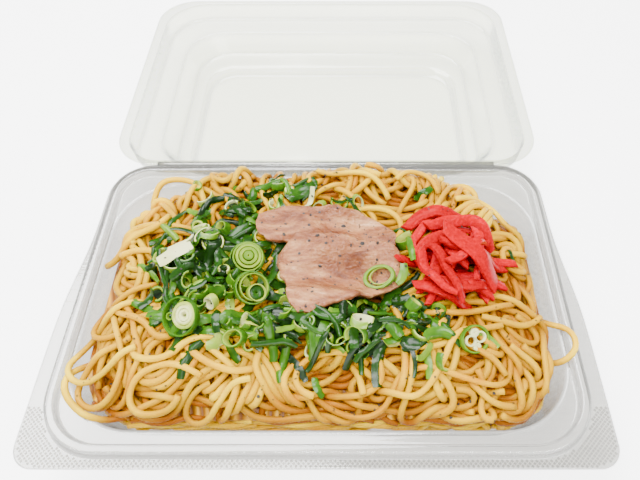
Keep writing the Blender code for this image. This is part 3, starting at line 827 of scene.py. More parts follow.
def laid_out(points):
    """A strand on top, from its few points, smoothed and spaced."""
    wide = [(x * (1 + FRONT_SPREAD * (55 - y)), y + 1) for x, y in points]
    return respaced(smoothed(wide))


# %% The heap settles
HEAP_POINTS = 7600
SETTLE_STEPS = 250


def heap_region(x, y):
    return region_gap(x + 2, y, 81.0, 55.0, 26.0, 1.0)


def keep_in_pack(points, is_pinned):
    """Loose strands stay over the tray's mouth, and laid ones inside the tray's bead."""
    x, y = points[:, 0].copy(), points[:, 1].copy()
    # Along the wall the heap's edge wavers by a couple of millimetres.
    waver = 1.6 + 1.0 * np.sin(0.31 * x + 0.2 * y) + 0.8 * np.sin(0.83 * x - 0.5 * y + 2)
    gap, way_x, way_y = region_gap(x - 1, y, 82.0, 55.5, 26.0, 3.0)
    gap = gap + waver - 0.8
    ease = np.where(is_pinned, 0, np.maximum(gap, 0) * 0.3)
    x, y = x - way_x * ease, y - way_y * ease
    gap, way_x, way_y = rounded_box_gap(x, y, 92.5, 60.5, 20.0)
    x, y = x - way_x * np.maximum(gap, 0), y - way_y * np.maximum(gap, 0)
    depth = np.clip(RIM_Z - points[:, 2], 0, RIM_Z)
    gap, way_x, way_y = rounded_box_gap(
        x, y, MOUTH_HALF_WIDTH - NOODLE_RADIUS - 1, MOUTH_HALF_DEPTH - NOODLE_RADIUS - 1, MOUTH_CORNER - 2
    )
    in_tray = points[:, 2] < RIM_Z + np.where(is_pinned, -2, NOODLE_RADIUS - 0.4)
    inward = np.where(in_tray, np.maximum(gap + waver + depth * WALL_DRAFT / RIM_Z, 0), 0)
    return np.column_stack([x - way_x * inward, y - way_y * inward])


loose_strands = strand_bundles(HEAP_POINTS, (-80, -54), (82, 54), heap_region)
laid_strands = [laid_out(points) for points in TOP_STRANDS]
strands = loose_strands + laid_strands
pins = np.array([0.0] * len(loose_strands) + [0.04] * len(laid_strands))
heap_points, heap_numbers = settled(
    strands, noodle_floor, noodle_ceiling, keep_in_pack, pins, SETTLE_STEPS
)
print(len(strands), "strands,", len(heap_points), "points, top at", round(heap_points[:, 2].max(), 1))

# %% [markdown]
# ## From lines to noodles
#
# A curve object with a round bevel is the quickest way to make tubes. It is turned into a mesh, and two
# values are stored on its points for the material: the strand's own tone, and how deep it lies. Deep
# strands are browner: partly wetter from the sauce that runs down, partly painted shade, as little
# light gets down between the strands.

# %% Tubes from curves
def tubes(name, points, numbers, radius, sides_resolution):
    curve = bpy.data.curves.new(name, "CURVE")
    curve.dimensions = "3D"
    curve.bevel_depth = radius * MM
    curve.bevel_resolution = sides_resolution
    for number in range(numbers.max() + 1):
        path = points[numbers == number]
        spline = curve.splines.new("POLY")
        spline.points.add(len(path) - 1)
        spline.points.foreach_set("co", np.column_stack([path * MM, np.ones(len(path))]).ravel())
        thickness = rng.normal(1, 0.06) * (1 + 0.04 * slow_noise(len(path), 6))
        spline.points.foreach_set("radius", np.clip(thickness, 0.85, 1.12))
    holder = bpy.data.objects.new(name, curve)
    mesh = bpy.data.meshes.new_from_object(holder)
    bpy.data.objects.remove(holder)
    bpy.data.curves.remove(curve)
    mesh.shade_smooth()
    return mesh


def spread_to_mesh(mesh, name, values):
    """Stores one value for each centre-line point on the ring of mesh points around it."""
    around = len(mesh.vertices) // len(values)
    attribute = mesh.attributes.new(name, "FLOAT", "POINT")
    attribute.data.foreach_set("value", np.repeat(values, around).astype(np.float32))


def noodle_piece(name, points, numbers, sides_resolution, material, soaked=1.0):
    mesh = tubes(name, points, numbers, NOODLE_RADIUS, sides_resolution)
    tones = rng.normal(0.5, 0.2, numbers.max() + 1)
    spread_to_mesh(mesh, "tone", np.clip(tones[numbers], 0, 1))
    # How deep each point lies browns it in the material: partly sauce, partly painted shade.
    under = look_up(heap_grid, points[:, 0], points[:, 1]) - points[:, 2]
    spread_to_mesh(mesh, "depth", np.clip(under / 8.0, 0, 1) * soaked)
    # The open ends of the tubes are filled last, as that leaves the points as they are.
    whole = bmesh.new()
    whole.from_mesh(mesh)
    bmesh.ops.holes_fill(whole, edges=[edge for edge in whole.edges if edge.is_boundary])
    bmesh.ops.recalc_face_normals(whole, faces=whole.faces)
    whole.to_mesh(mesh)
    whole.free()
    mesh.materials.append(material)
    piece = bpy.data.objects.new(name, mesh)
    bpy.context.scene.collection.objects.link(piece)
    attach(piece, "tray")
    print(name, len(mesh.loops) - 2 * len(mesh.polygons), "triangles")
    return piece


# %% [markdown]
# Steamed wheat noodles are tinted yellow by the alkaline water in their dough. Frying in sauce stains
# them unevenly and leaves a thin film of oil, so their gloss comes in small broken lights. A little
# light passes through them.


# %% Fried wheat noodles
def noodle_material():
    made, tree, output = new_material("steamed_wheat_noodle_fried_in_sauce")
    places = add_node(tree, "ShaderNodeTexCoord").outputs["Object"]
    tone = add_node(tree, "ShaderNodeAttribute", {"attribute_name": "tone"}).outputs["Fac"]
    depth = add_node(tree, "ShaderNodeAttribute", {"attribute_name": "depth"}).outputs["Fac"]
    # Sauce stains, 12 mm across.
    stain = add_node(
        tree, "ShaderNodeTexNoise", {"Scale": 1 / (12 * MM), "Detail": 3.0}, {"Vector": places}
    ).outputs["Fac"]
    mixed = add_node(
        tree, "ShaderNodeMath", {"operation": "MULTIPLY_ADD", 1: 0.55}, {0: tone, 2: stain}
    ).outputs[0]
    pale = colour_ramp(
        tree, mixed, [(0.42, "#CE8C00"), (0.64, "#DEAA00"), (0.84, "#EABC00"), (1.0, "#F4CE12")]
    )
    # Deep strands turn brown: partly sauce, partly painted shade of the gaps between strands.
    deep = add_node(
        tree, "ShaderNodeMath", {"operation": "MULTIPLY", 1: 1.0, "use_clamp": True}, {0: depth}
    ).outputs[0]
    sauced = add_node(
        tree, "ShaderNodeMix", {"data_type": "RGBA", 7: linear("#844804")}, {0: deep, 6: pale}
    ).outputs[2]
    # Fine pits and starch grain, 0.7 mm across, break up the gloss.
    grain = add_node(
        tree, "ShaderNodeTexNoise", {"Scale": 1 / (0.7 * MM), "Detail": 2.0}, {"Vector": places}
    ).outputs["Fac"]
    relief = add_node(
        tree, "ShaderNodeBump", {"Strength": 0.85, "Distance": 0.22 * MM}, {"Height": grain}
    ).outputs["Normal"]
    gloss = add_node(tree, "ShaderNodeMapRange", {3: 0.16, 4: 0.38}, {0: grain}).outputs[0]
    surface = add_node(
        tree, "ShaderNodeBsdfPrincipled",
        {"IOR": 1.45, "Specular IOR Level": 0.28, "Specular Tint": linear("#FFD470"),
         "Subsurface Weight": 0.12, "Subsurface Scale": 1.2 * MM,
         "Subsurface Radius": (1.0, 0.6, 0.05)},
        {"Base Color": sauced, "Roughness": gloss, "Normal": relief},
    )
    tree.links.new(surface.outputs[0], output.inputs["Surface"])
    return made


wheat_noodle = noodle_material()
noodle_heap = noodle_piece("noodle_strands", heap_points, heap_numbers, 2, wheat_noodle)

# %% [markdown]
# The core closes the heap from inside, so no light falls through. It is drawn as a skin of outlines:
# up the tray's wall, then inwards over the top at the core's height.

# %% The core of the heap
CORE_GAP = 4.2


def core_outline(inset, z):
    """The tray's mouth, drawn in, and cut off where the heap falls away towards the back corners."""
    level = []
    for x, y in mouth_outline(inset):
        limit = float(heap_back(x)) + CORNER_SLOPE * (RIM_Z - z) - 3
        level.append((x, min(y, limit), z))
    return level


def core_skin():
    levels = [core_outline(WALL_DRAFT + CORE_GAP + 4, SHEET + 2.6)]
    for z in (WALL_FOOT + 1, 12.0, 19.0, RIM_Z - 3):
        levels.append(core_outline(CORE_GAP + WALL_DRAFT * (RIM_Z - z) / RIM_Z, z))
    rim = levels[-1]
    for ring in range(1, 15):
        shrink = 1 - (ring / 15) ** 1.1
        level = []
        for x, y, z in rim:
            place = (x * shrink, y * shrink)
            height = float(core_height(np.array([place[0]]), np.array([place[1]]))[0])
            level.append((*place, height))
        levels.append(level)
    return stacked_skin(levels, close_start=True)


def sauce_material():
    made, tree, output = new_material("packed_noodle_core_sauce_and_painted_shade")
    places = add_node(tree, "ShaderNodeTexCoord").outputs["Object"]
    # Strands pressed flat show as bands of their own width.
    bands = add_node(
        tree, "ShaderNodeTexWave",
        {"Scale": 1 / (2.3 * MM) / 6.0, "Distortion": 9.0, "Detail": 1.0, "Detail Scale": 0.6},
        {"Vector": places},
    ).outputs["Fac"]
    # Its browns are darker than the strands': partly sauce, partly painted shade, as the core shows only deep in the
    # heap's gaps.
    colour = colour_ramp(tree, bands, [(0.0, "#6E3E04"), (0.5, "#A46C08"), (1.0, "#CC9412")])
    relief = add_node(
        tree, "ShaderNodeBump", {"Strength": 0.8, "Distance": 1.0 * MM}, {"Height": bands}
    ).outputs["Normal"]
    surface = add_node(
        tree, "ShaderNodeBsdfPrincipled", {"Roughness": 0.45, "Specular IOR Level": 0.25},
        {"Base Color": colour, "Normal": relief},
    )
    tree.links.new(surface.outputs[0], output.inputs["Surface"])
    return made


core = put_in_scene("noodle_core", core_skin(), sauce_material(), "tray")
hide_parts("noodles")

# %% [markdown]
# ## Toppings that lie where they fall
#
# Each topping needs to know how high the food under it stands. A fine plan grid of heights is filled in
# from the noodles, and each topping adds its own top to it once laid. A blurred copy gives the slope
# that a soft slice follows.

# %% The heap's relief
FINE = 0.5
FINE_X = np.arange(GRID_X[0], GRID_X[-1] + FINE, FINE)
FINE_Y = np.arange(GRID_Y[0], GRID_Y[-1] + FINE, FINE)


def raise_relief(relief, points, radius):
    """Adds balls of that radius, in millimetres, to the relief."""
    reach = int(radius / FINE) + 1
    for across in range(-reach, reach + 1):
        for up in range(-reach, reach + 1):
            column = np.rint((points[:, 0] - FINE_X[0]) / FINE).astype(int) + across
            row = np.rint((points[:, 1] - FINE_Y[0]) / FINE).astype(int) + up
            away_x = column * FINE + FINE_X[0] - points[:, 0]
            away_y = row * FINE + FINE_Y[0] - points[:, 1]
            rest = radius * radius - away_x * away_x - away_y * away_y
            good = (rest > 0) & (column >= 0) & (column < len(FINE_X)) & (row >= 0) & (row < len(FINE_Y))
            top = points[good, 2] + np.sqrt(rest[good])
            np.maximum.at(relief, (row[good], column[good]), top)


def blurred(relief, widened, blur):
    """The relief's high places widened, then smoothed, both in millimetres."""
    soft = relief.copy()
    for axis in (0, 1):
        reach = int(widened / FINE)
        soft = np.max([np.roll(soft, shift, axis) for shift in range(-reach, reach + 1)], axis=0)
    window = np.hanning(2 * int(blur / FINE) + 3)
    window /= window.sum()
    for axis in (0, 1):
        soft = np.apply_along_axis(np.convolve, axis, soft, window, "same")
    return soft


between = heap_numbers[1:] == heap_numbers[:-1]
halfway = (heap_points[1:][between] + heap_points[:-1][between]) / 2
relief = np.full((len(FINE_Y), len(FINE_X)), RIM_Z - 6.0)
raise_relief(relief, np.concatenate([heap_points, halfway]), NOODLE_RADIUS)
scallion_mask = heights_over("scallions", GRID_Y) > 0
print("relief of", relief.shape, "cells, highest", round(float(relief.max()), 1), "mm")

# %% [markdown]
# ## Spring onion
#
# Chopped spring onion is many shapes in one: rings cut across the stem, white with green rims near the
# root, and bits of hollow leaf that split, curl and flatten. Rings are spun from their wall's section.
# Leaf bits are gutters: a curved section drawn along a short curved path.
#
# Two values on the points drive the colour. "pale" runs from the dark outer skin to the white flesh, and
# "tone" differs from bit to bit.


# %% Bits of spring onion
TOP_Z = packed_box[1][2] / MM - 0.2


def press_down(bm):
    """Nothing stands higher than the lid lets it: the last 2 mm are squeezed."""
    for vert in bm.verts:
        over = vert.co.z - (TOP_Z - 2)
        if over > 0:
            vert.co.z = TOP_Z - 2 + 2 * math.tanh(over / 2)


def marked_mesh():
    """An empty mesh whose points carry the two values."""
    bm = bmesh.new()
    bm.verts.layers.float.new("pale")
    bm.verts.layers.float.new("tone")
    return bm


def mark(bm, verts, pale, tone):
    pale_layer, tone_layer = bm.verts.layers.float["pale"], bm.verts.layers.float["tone"]
    for vert, value in zip(verts, pale):
        vert[pale_layer] = value
        vert[tone_layer] = tone


def gutter(bm, path, up, width, thick, curl, pale_out, pale_in, tone, taper=0.25):
    """A strip with a curved section along the path. Its section opens against the up directions."""
    corners = 4
    along = np.gradient(path, axis=0)
    along /= np.linalg.norm(along, axis=1)[:, None]
    side = np.cross(along, up)
    side /= np.linalg.norm(side, axis=1)[:, None]
    above = np.cross(side, along)
    angles = np.linspace(-curl, curl, corners + 1)
    loops = []
    for number, point in enumerate(path):
        share = number / (len(path) - 1)
        half = width / 2 * (1 - taper * abs(2 * share - 1) ** 3)
        bow = half / math.sin(min(curl, math.pi / 2)) if curl > 0.02 else half / 0.02
        loop = []
        for layer, order in ((0.0, angles), (thick, angles[::-1])):
            for angle in order:
                reach = bow - layer
                across, rise = reach * math.sin(angle), reach * math.cos(angle) - bow
                loop.append(point + side[number] * across + above[number] * rise)
        loops.append(loop)
    made = rolled_skin(bm, loops, close_start=True)
    mark(bm, made, ([pale_out] * (corners + 1) + [pale_in] * (corners + 1)) * len(path), tone)
    return made


def stem_ring(bm, radius, wall, height, pale_out, pale_in, tone, turn=2 * math.pi, steps=18):
    """A ring, or part of one: the rounded section of its wall, led round."""
    section = [
        (radius - wall * 0.15, 0), (radius, height * 0.12), (radius, height * 0.88),
        (radius - wall * 0.15, height), (radius - wall * 0.85, height), (radius - wall, height * 0.85),
        (radius - wall, height * 0.15), (radius - wall * 0.85, 0),
    ]
    angles = [turn * step / steps for step in range(steps + 1)]
    sections = [[(x * math.cos(angle), x * math.sin(angle), z) for x, z in section] for angle in angles]
    whole = turn > 6.28
    made = rolled_skin(bm, sections, close_start=not whole, close_end=not whole, join_ends=whole)
    inward = [min(max((radius - x) / wall * 1.6 - 0.2, 0.0), 1.0) for x, _ in section]
    pales = [pale_out + (pale_in - pale_out) * share for share in inward]
    mark(bm, made, pales * (len(made) // len(section)), tone)
    return made


def lay(bm, made, relief, place, turn, tilt, sink=0.5, soft=None):
    """Turns a bit and lowers it onto the relief, leaning with the slope there, and adds its top."""
    x, y = place
    slope_map = soft if soft is not None else relief
    slope_x = (look_up(slope_map, x + 3, y, FINE) - look_up(slope_map, x - 3, y, FINE)) / 6
    slope_y = (look_up(slope_map, x, y + 3, FINE) - look_up(slope_map, x, y - 3, FINE)) / 6
    normal = Vector((-slope_x, -slope_y, 1.2)).normalized()
    lean = Vector((0, 0, 1)).rotation_difference(normal).to_matrix().to_4x4()
    extra = Matrix.Rotation(tilt[0], 4, "X") @ Matrix.Rotation(tilt[1], 4, "Y")
    bmesh.ops.transform(bm, matrix=lean @ extra @ Matrix.Rotation(turn, 4, "Z"), verts=made)
    spots = np.array([vert.co[:] for vert in made])
    needed = look_up(relief, spots[:, 0] + x, spots[:, 1] + y, FINE) - spots[:, 2]
    lift = float(np.percentile(needed, 88)) - sink
    bmesh.ops.translate(bm, vec=(x, y, lift), verts=made)
    raise_relief(relief, spots + (x, y, lift), 0.6)


# %% [markdown]
# Spring onion skin is waxy and wet here, so its gloss is sharp. The flesh is pale, streaked along its
# length by veins about 0.6 mm apart, and lets light through.


# %% Fresh spring onion
def scallion_material():
    made, tree, output = new_material("cut_spring_onion")
    places = add_node(tree, "ShaderNodeTexCoord").outputs["Object"]
    pale = add_node(tree, "ShaderNodeAttribute", {"attribute_name": "pale"}).outputs["Fac"]
    tone = add_node(tree, "ShaderNodeAttribute", {"attribute_name": "tone"}).outputs["Fac"]
    cloud = add_node(
        tree, "ShaderNodeTexNoise", {"Scale": 1 / (4 * MM), "Detail": 2.0}, {"Vector": places}
    ).outputs["Fac"]
    shade = add_node(
        tree, "ShaderNodeMath", {"operation": "MULTIPLY_ADD", 1: 0.3}, {0: cloud, 2: pale}
    ).outputs[0]
    shade = add_node(
        tree, "ShaderNodeMath", {"operation": "MULTIPLY_ADD", 1: 0.24}, {0: tone, 2: shade}
    ).outputs[0]
    stops = [(0.18, "#0C2206"), (0.36, "#1E440A"), (0.52, "#3E6A10"), (0.7, "#729020"),
             (0.88, "#A2B040"), (1.0, "#D0D292")]
    colour = colour_ramp(tree, shade, stops)
    veins = add_node(
        tree, "ShaderNodeTexNoise", {"Scale": 1 / (0.6 * MM), "Detail": 2.0}, {"Vector": places}
    ).outputs["Fac"]
    bumps = add_node(
        tree, "ShaderNodeBump", {"Strength": 0.3, "Distance": 0.15 * MM}, {"Height": veins}
    ).outputs["Normal"]
    surface = add_node(
        tree, "ShaderNodeBsdfPrincipled",
        {"IOR": 1.4, "Roughness": 0.2, "Specular IOR Level": 0.35, "Subsurface Weight": 0.12,
         "Subsurface Scale": 0.8 * MM, "Subsurface Radius": (0.5, 1.0, 0.2)},
        {"Base Color": colour, "Normal": bumps},
    )
    tree.links.new(surface.outputs[0], output.inputs["Surface"])
    return made


spring_onion = scallion_material()


# %% Chopped leaf and small rings under the pork
def drape_path(relief, start, heading, length, bend, points, lift=0.3):
    """A short path that follows the relief, its bumps evened out, with the way up at each point."""
    path = []
    x, y = start
    for number in range(points):
        path.append((x, y))
        x += length / points * math.cos(heading)
        y += length / points * math.sin(heading)
        heading += bend / points
    path = np.array(path)
    heights = look_up(relief, path[:, 0], path[:, 1], FINE)
    smooth = np.convolve(np.pad(heights, 2, "edge"), (0.1, 0.25, 0.3, 0.25, 0.1), "valid")
    above = look_up(soft_relief, path[:, 0], path[:, 1], FINE)
    level = np.maximum(heights, smooth) * 0.45 + above * 0.45 + smooth * 0.1 + lift
    side_x = look_up(soft_relief, path[:, 0] + 2, path[:, 1], FINE)
    side_x -= look_up(soft_relief, path[:, 0] - 2, path[:, 1], FINE)
    side_y = look_up(soft_relief, path[:, 0], path[:, 1] + 2, FINE)
    side_y -= look_up(soft_relief, path[:, 0], path[:, 1] - 2, FINE)
    up = np.column_stack([-side_x / 4, -side_y / 4, np.ones(points)])
    return np.column_stack([path, level]), up


def leaf_bit(bm, relief, place, heading=None, length=None, width=None, pale=None, curl=None):
    heading = rng.uniform(0, 2 * math.pi) if heading is None else heading
    length = rng.uniform(7, 18) if length is None else length
    width = rng.uniform(1.6, 4.4) if width is None else width
    pale = rng.choice([0.0, 0.05, 0.12, 0.3, 0.55], p=[0.36, 0.28, 0.2, 0.11, 0.05]) if pale is None else pale
    curl = rng.uniform(0.15, 1.5) if curl is None else curl
    path, up = drape_path(relief, place, heading, length, rng.normal(0, 0.9), 8)
    up = up + rng.normal(0, 0.35, 3)
    made = gutter(bm, path, up, width, rng.uniform(0.35, 0.7), curl, pale,
                  pale + rng.uniform(0.2, 0.45), rng.uniform(0, 1))
    raise_relief(relief, np.array([vert.co[:] for vert in made]), 0.7)


def small_ring(bm, relief, place, radius=None, pale=None, turn=None):
    radius = rng.uniform(2.3, 4.6) if radius is None else radius
    pale = rng.choice([0.1, 0.3, 0.5]) if pale is None else pale
    turn = float(rng.choice([2 * math.pi, 2 * math.pi, 4.2, 3.0])) if turn is None else turn
    made = stem_ring(bm, radius, rng.uniform(0.6, 1.1), rng.uniform(1.5, 3.5), pale, pale + 0.35,
                     rng.uniform(0, 1), turn, 16)
    bmesh.ops.scale(bm, vec=(1, rng.uniform(0.6, 1.0), 1), verts=made)
    lay(bm, made, relief, place, rng.uniform(0, 6.28), rng.normal(0, 0.4, 2), soft=soft_relief)


soft_relief = blurred(relief, 1.5, 4.0)
chopped = marked_mesh()
BIT_COUNT, SCALLION_FRONT = 520, -29.5
rows, columns = np.nonzero(scallion_mask)
for number, pick in enumerate(rng.integers(0, len(rows), BIT_COUNT)):
    if number % 60 == 59:
        soft_relief = blurred(relief, 1.5, 4.0)
    place = (GRID_X[columns[pick]] + rng.normal(0, 1.5), GRID_Y[rows[pick]] + rng.normal(0, 1.5))
    if number % 5 == 0:
        place = (rng.normal(-47, 8), rng.normal(6, 12))
    elif number % 5 == 1:
        place = (rng.normal(4, 17), rng.normal(-23, 3))
    place = (np.clip(place[0], -62, 66), np.clip(place[1], SCALLION_FRONT, 43))
    if rng.random() < 0.76:
        leaf_bit(chopped, relief, place)
    else:
        small_ring(chopped, relief, place)
print(BIT_COUNT, "bits of spring onion,", len(chopped.faces), "faces")

# %% [markdown]
# ## Pork
#
# Two thin boiled slices lie across each other on the onion. A slice is limp, so it follows the blurred
# relief, and its edge is thinner and ragged. It is drawn as a skin of shrinking outlines, out along the
# underside and back in over the top. The grain runs across the slice, with fatty streaks and pits.

# %% Slices
PORK_THICKNESS = 2.3
PORK_REAR = ((-25, 23), (-24, 15), (-12, 9), (6, 6), (18, 4), (28, 8), (27, 17), (20, 22.5), (8, 26),
             (-5, 27), (-16, 27.5))
PORK_FRONT = ((-15, 3), (-13, -7), (-9, -18), (-4, -22.5), (6, -19), (18, -14), (28, -9.5), (31, -1),
              (27, 6), (17, 9), (3, 11), (-9, 10.5))


def closed_outline(corners, parts=10, raggedness=0.8):
    """A smooth closed line through the corners, roughened a little."""
    ring = [*corners[-2:], *corners, *corners[:2]]
    path = smoothed(ring, parts)[2 * parts:-2 * parts]
    rough = []
    for x, y in path:
        shake = noise.noise_vector(Vector((x / 2.2, y / 2.2, 0))) * raggedness
        shake += noise.noise_vector(Vector((x / 7, y / 7, 9))) * raggedness * 1.6
        rough.append((x + shake.x, y + shake.y))
    return np.array(rough)


def slice_of_meat(outline, thickness, soft, rings=22):
    """Levels from the middle of the underside, round the edge, to the middle of the top."""
    middle = outline.mean(axis=0)
    levels = []
    for side, order in ((0, range(1, rings + 1)), (1, range(rings, 0, -1))):
        for ring in order:
            share = (ring / rings) ** 0.8
            places = middle + (outline - middle) * share
            base = look_up(soft, places[:, 0], places[:, 1], FINE)
            round_off = np.sqrt(max(1 - share**24, 0.0)) * 0.25 + 0.25
            level = []
            base = np.minimum(base, TOP_Z - thickness - 1.2)
            for (x, y), z in zip(places, base):
                swell = noise.noise(Vector((x / 6, y / 6, 3))) * 0.5
                grain = noise.noise(Vector((x / 3.2 + y / 9, y / 1.1, 5))) * 0.22 * side
                mid = z + thickness / 2 + swell * 0.6
                half = thickness * round_off * (1 + 0.35 * swell)
                level.append((x, y, mid + (half + grain if side else -half)))
            levels.append(level)
    return levels


def pork_material():
    made, tree, output = new_material("boiled_pork_slice")
    places = add_node(tree, "ShaderNodeTexCoord").outputs["Object"]
    # Grain 1.2 mm apart, drawn out along the fibres, and streaks of fat 7 mm across.
    stretched = add_node(
        tree, "ShaderNodeMapping", {"Rotation": (0, 0, 0.35), "Scale": (0.35, 1.0, 1.0)},
        {"Vector": places},
    ).outputs["Vector"]
    grain = add_node(
        tree, "ShaderNodeTexNoise", {"Scale": 1 / (1.2 * MM), "Detail": 5.0, "Roughness": 0.65},
        {"Vector": stretched},
    ).outputs["Fac"]
    streak = add_node(
        tree, "ShaderNodeTexNoise", {"Scale": 1 / (7 * MM), "Detail": 4.0, "Distortion": 1.0},
        {"Vector": stretched},
    ).outputs["Fac"]
    mixed = add_node(
        tree, "ShaderNodeMath", {"operation": "MULTIPLY_ADD", 1: 0.35}, {0: grain, 2: streak}
    ).outputs[0]
    colour = colour_ramp(
        tree, mixed,
        [(0.42, "#5C2C16"), (0.56, "#7C4628"), (0.68, "#965E3A"), (0.82, "#B27E52"), (0.95, "#DCB08A")],
    )
    # Boiling opens pits 0.5 mm across.
    pits = add_node(
        tree, "ShaderNodeTexVoronoi", {"Scale": 1 / (1.3 * MM), "Randomness": 1.0}, {"Vector": places}
    ).outputs["Distance"]
    bumps = add_node(
        tree, "ShaderNodeBump", {"Strength": 1.0, "Distance": 0.8 * MM}, {"Height": grain}
    ).outputs["Normal"]
    bumps = add_node(
        tree, "ShaderNodeBump", {"Strength": 0.8, "Distance": 0.4 * MM},
        {"Height": pits, "Normal": bumps},
    ).outputs["Normal"]
    surface = add_node(
        tree, "ShaderNodeBsdfPrincipled",
        {"IOR": 1.42, "Roughness": 0.2, "Specular IOR Level": 0.5, "Subsurface Weight": 0.2, "Subsurface Scale": 1.5 * MM,
         "Subsurface Radius": (1.0, 0.45, 0.3)},
        {"Base Color": colour, "Normal": bumps},
    )
    tree.links.new(surface.outputs[0], output.inputs["Surface"])
    return made


boiled_pork = pork_material()
slices = []
for name, corners in (("pork_slice_rear", PORK_REAR), ("pork_slice_front", PORK_FRONT)):
    soft = blurred(relief, 3.0, 5.0)
    levels = slice_of_meat(closed_outline(corners), PORK_THICKNESS, soft)
    skin = stacked_skin(levels, close_start=True)
    slice_piece = put_in_scene(name + "_meat", skin, boiled_pork, "tray", 60)
    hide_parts(name)
    slices.append(slice_piece)
    raise_relief(relief, np.concatenate([np.array(level) for level in levels[len(levels) // 2:]]), 0.8)
print("two slices of pork laid")

# %% [markdown]
# ## Red pickled ginger
#
# Ginger is cut into matchsticks and pickled until limp and dyed through. Each stick here is a rounded
# bar along a slightly bent path. The biggest ones are placed one by one and the rest fall about them.


# %% Sticks of ginger
def stick(bm, path, width, thick, roll, tone):
    """A rounded bar along the path, its ends cut on the slant."""
    along = np.gradient(path, axis=0)
    along /= np.linalg.norm(along, axis=1)[:, None]
    up = np.array([0, 0, 1.0])
    side = np.cross(along, up)
    side /= np.linalg.norm(side, axis=1)[:, None]
    above = np.cross(side, along)
    section = [(0.5, -0.28), (0.5, 0.28), (0.32, 0.5), (-0.32, 0.5), (-0.5, 0.28), (-0.5, -0.28),
               (-0.32, -0.5), (0.32, -0.5)]
    loops = []
    for number, point in enumerate(path):
        share = number / (len(path) - 1)
        size = 1 - 0.3 * abs(2 * share - 1) ** 4
        angle = roll * (1 + share)
        loop = []
        for across, rise in section:
            flat = across * width * size * math.cos(angle) - rise * thick * size * math.sin(angle)
            high = across * width * size * math.sin(angle) + rise * thick * size * math.cos(angle)
            slant = along[number] * across * width * 0.5 * (1 if share in (0, 1) else 0)
            loop.append(point + side[number] * flat + above[number] * high + slant)
        loops.append(loop)
    made = rolled_skin(bm, loops, close_start=True)
    mark(bm, made, [0.5] * len(made), tone)
    return made


def ginger_stick(bm, relief, plan, width, thick):
    """A stick over the plan points, stiff enough to span the gaps in the relief."""
    path = respaced(smoothed(plan), 1.6)
    heights = look_up(relief, path[:, 0], path[:, 1], FINE)
    window = np.hanning(min(len(path), 9) + 2)[1:-1]
    reach = len(window) // 2
    spanned = np.convolve(np.pad(heights, reach, "edge"), window / window.sum(), "same")
    spanned = spanned[reach:reach + len(path)]
    level = spanned + np.percentile(heights - spanned, 80) + thick * 0.42
    points = np.column_stack([path, level])
    points += slow_noise(len(path), 5)[:, None] * (0.1, 0.1, 0.2)
    made = stick(bm, points, width, thick, rng.normal(0, 0.25), rng.uniform(0, 1))
    raise_relief(relief, np.array([vert.co[:] for vert in made]), 0.8)
    raise_relief(relief, points, thick * 0.5)


def ginger_material():
    made, tree, output = new_material("red_pickled_ginger")
    places = add_node(tree, "ShaderNodeTexCoord").outputs["Object"]
    tone = add_node(tree, "ShaderNodeAttribute", {"attribute_name": "tone"}).outputs["Fac"]
    fibre = add_node(
        tree, "ShaderNodeTexNoise", {"Scale": 1 / (1.1 * MM), "Detail": 4.0}, {"Vector": places}
    ).outputs["Fac"]
    mixed = add_node(
        tree, "ShaderNodeMath", {"operation": "MULTIPLY_ADD", 1: 0.45}, {0: tone, 2: fibre}
    ).outputs[0]
    colour = colour_ramp(
        tree, mixed, [(0.35, "#7C0004"), (0.6, "#9A000A"), (0.85, "#B00010"), (1.0, "#C40422")]
    )
    bumps = add_node(
        tree, "ShaderNodeBump", {"Strength": 0.35, "Distance": 0.2 * MM}, {"Height": fibre}
    ).outputs["Normal"]
    surface = add_node(
        tree, "ShaderNodeBsdfPrincipled",
        {"IOR": 1.4, "Roughness": 0.16, "Specular IOR Level": 0.18, "Specular Tint": linear("#FF8A84"),
         "Subsurface Weight": 0.3, "Subsurface Scale": 1.5 * MM, "Subsurface Radius": (1.0, 0.1, 0.1)},
        {"Base Color": colour, "Normal": bumps},
    )
    tree.links.new(surface.outputs[0], output.inputs["Surface"])
    return made


GINGER_MIDDLE = (51.0, 4.0)
LAID_GINGER = (
    ((34, -8), (40, -10), (50, -13), (57, -14), 3.6),
    ((38, 12), (44, 2), (48, -8), (51, -17), 3.4),
    ((35, 3), (40, 8), (48, 12), (56, 12), 3.2),
    ((58, 18), (60, 10), (58, 2), (60, -5), 3.0),
    ((41, 20), (36, 13), (34, 6), (37, -1), 3.0),
    ((44, 8), (52, 6), (62, 3), (71, 3), 2.4),
    ((46, -2), (53, 2), (60, 9), (66, 12), 2.8),
    ((40, 16), (50, 20), (58, 17), (66, 9), 3.6),
    ((33, 20), (39, 25), (49, 25.5), (60, 21), 4.0),
    ((46, 13), (52, 7), (59, -1), (65, -8), 5.2),
    ((37, 4), (38, -3), (42, -9), (49, -15), 3.4),
)
RANDOM_GINGER = 20
ginger_bm = marked_mesh()
for _ in range(RANDOM_GINGER):
    angle, away = rng.uniform(0, 2 * math.pi), math.sqrt(rng.uniform(0, 1)) * 13
    middle = np.array(GINGER_MIDDLE) + away * np.array([math.cos(angle), math.sin(angle)]) * (1, 1.1)
    heading, half = rng.uniform(0, math.pi), rng.uniform(7, 13)
    way = np.array([math.cos(heading), math.sin(heading)])
    bow = np.array([-way[1], way[0]]) * rng.normal(0, 1.6)
    plan = (middle - way * half, middle - way * half / 3 + bow, middle + way * half / 3 + bow,
            middle + way * half)
    ginger_stick(ginger_bm, relief, plan, rng.uniform(2.8, 4.4), rng.uniform(1.8, 2.6))
for *plan, width in LAID_GINGER:
    ginger_stick(ginger_bm, relief, plan, width * 1.25, rng.uniform(2.1, 2.8))
press_down(ginger_bm)
pickled = put_in_scene("ginger_sticks", ginger_bm, ginger_material(), "tray", 50)
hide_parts("pickled_ginger")
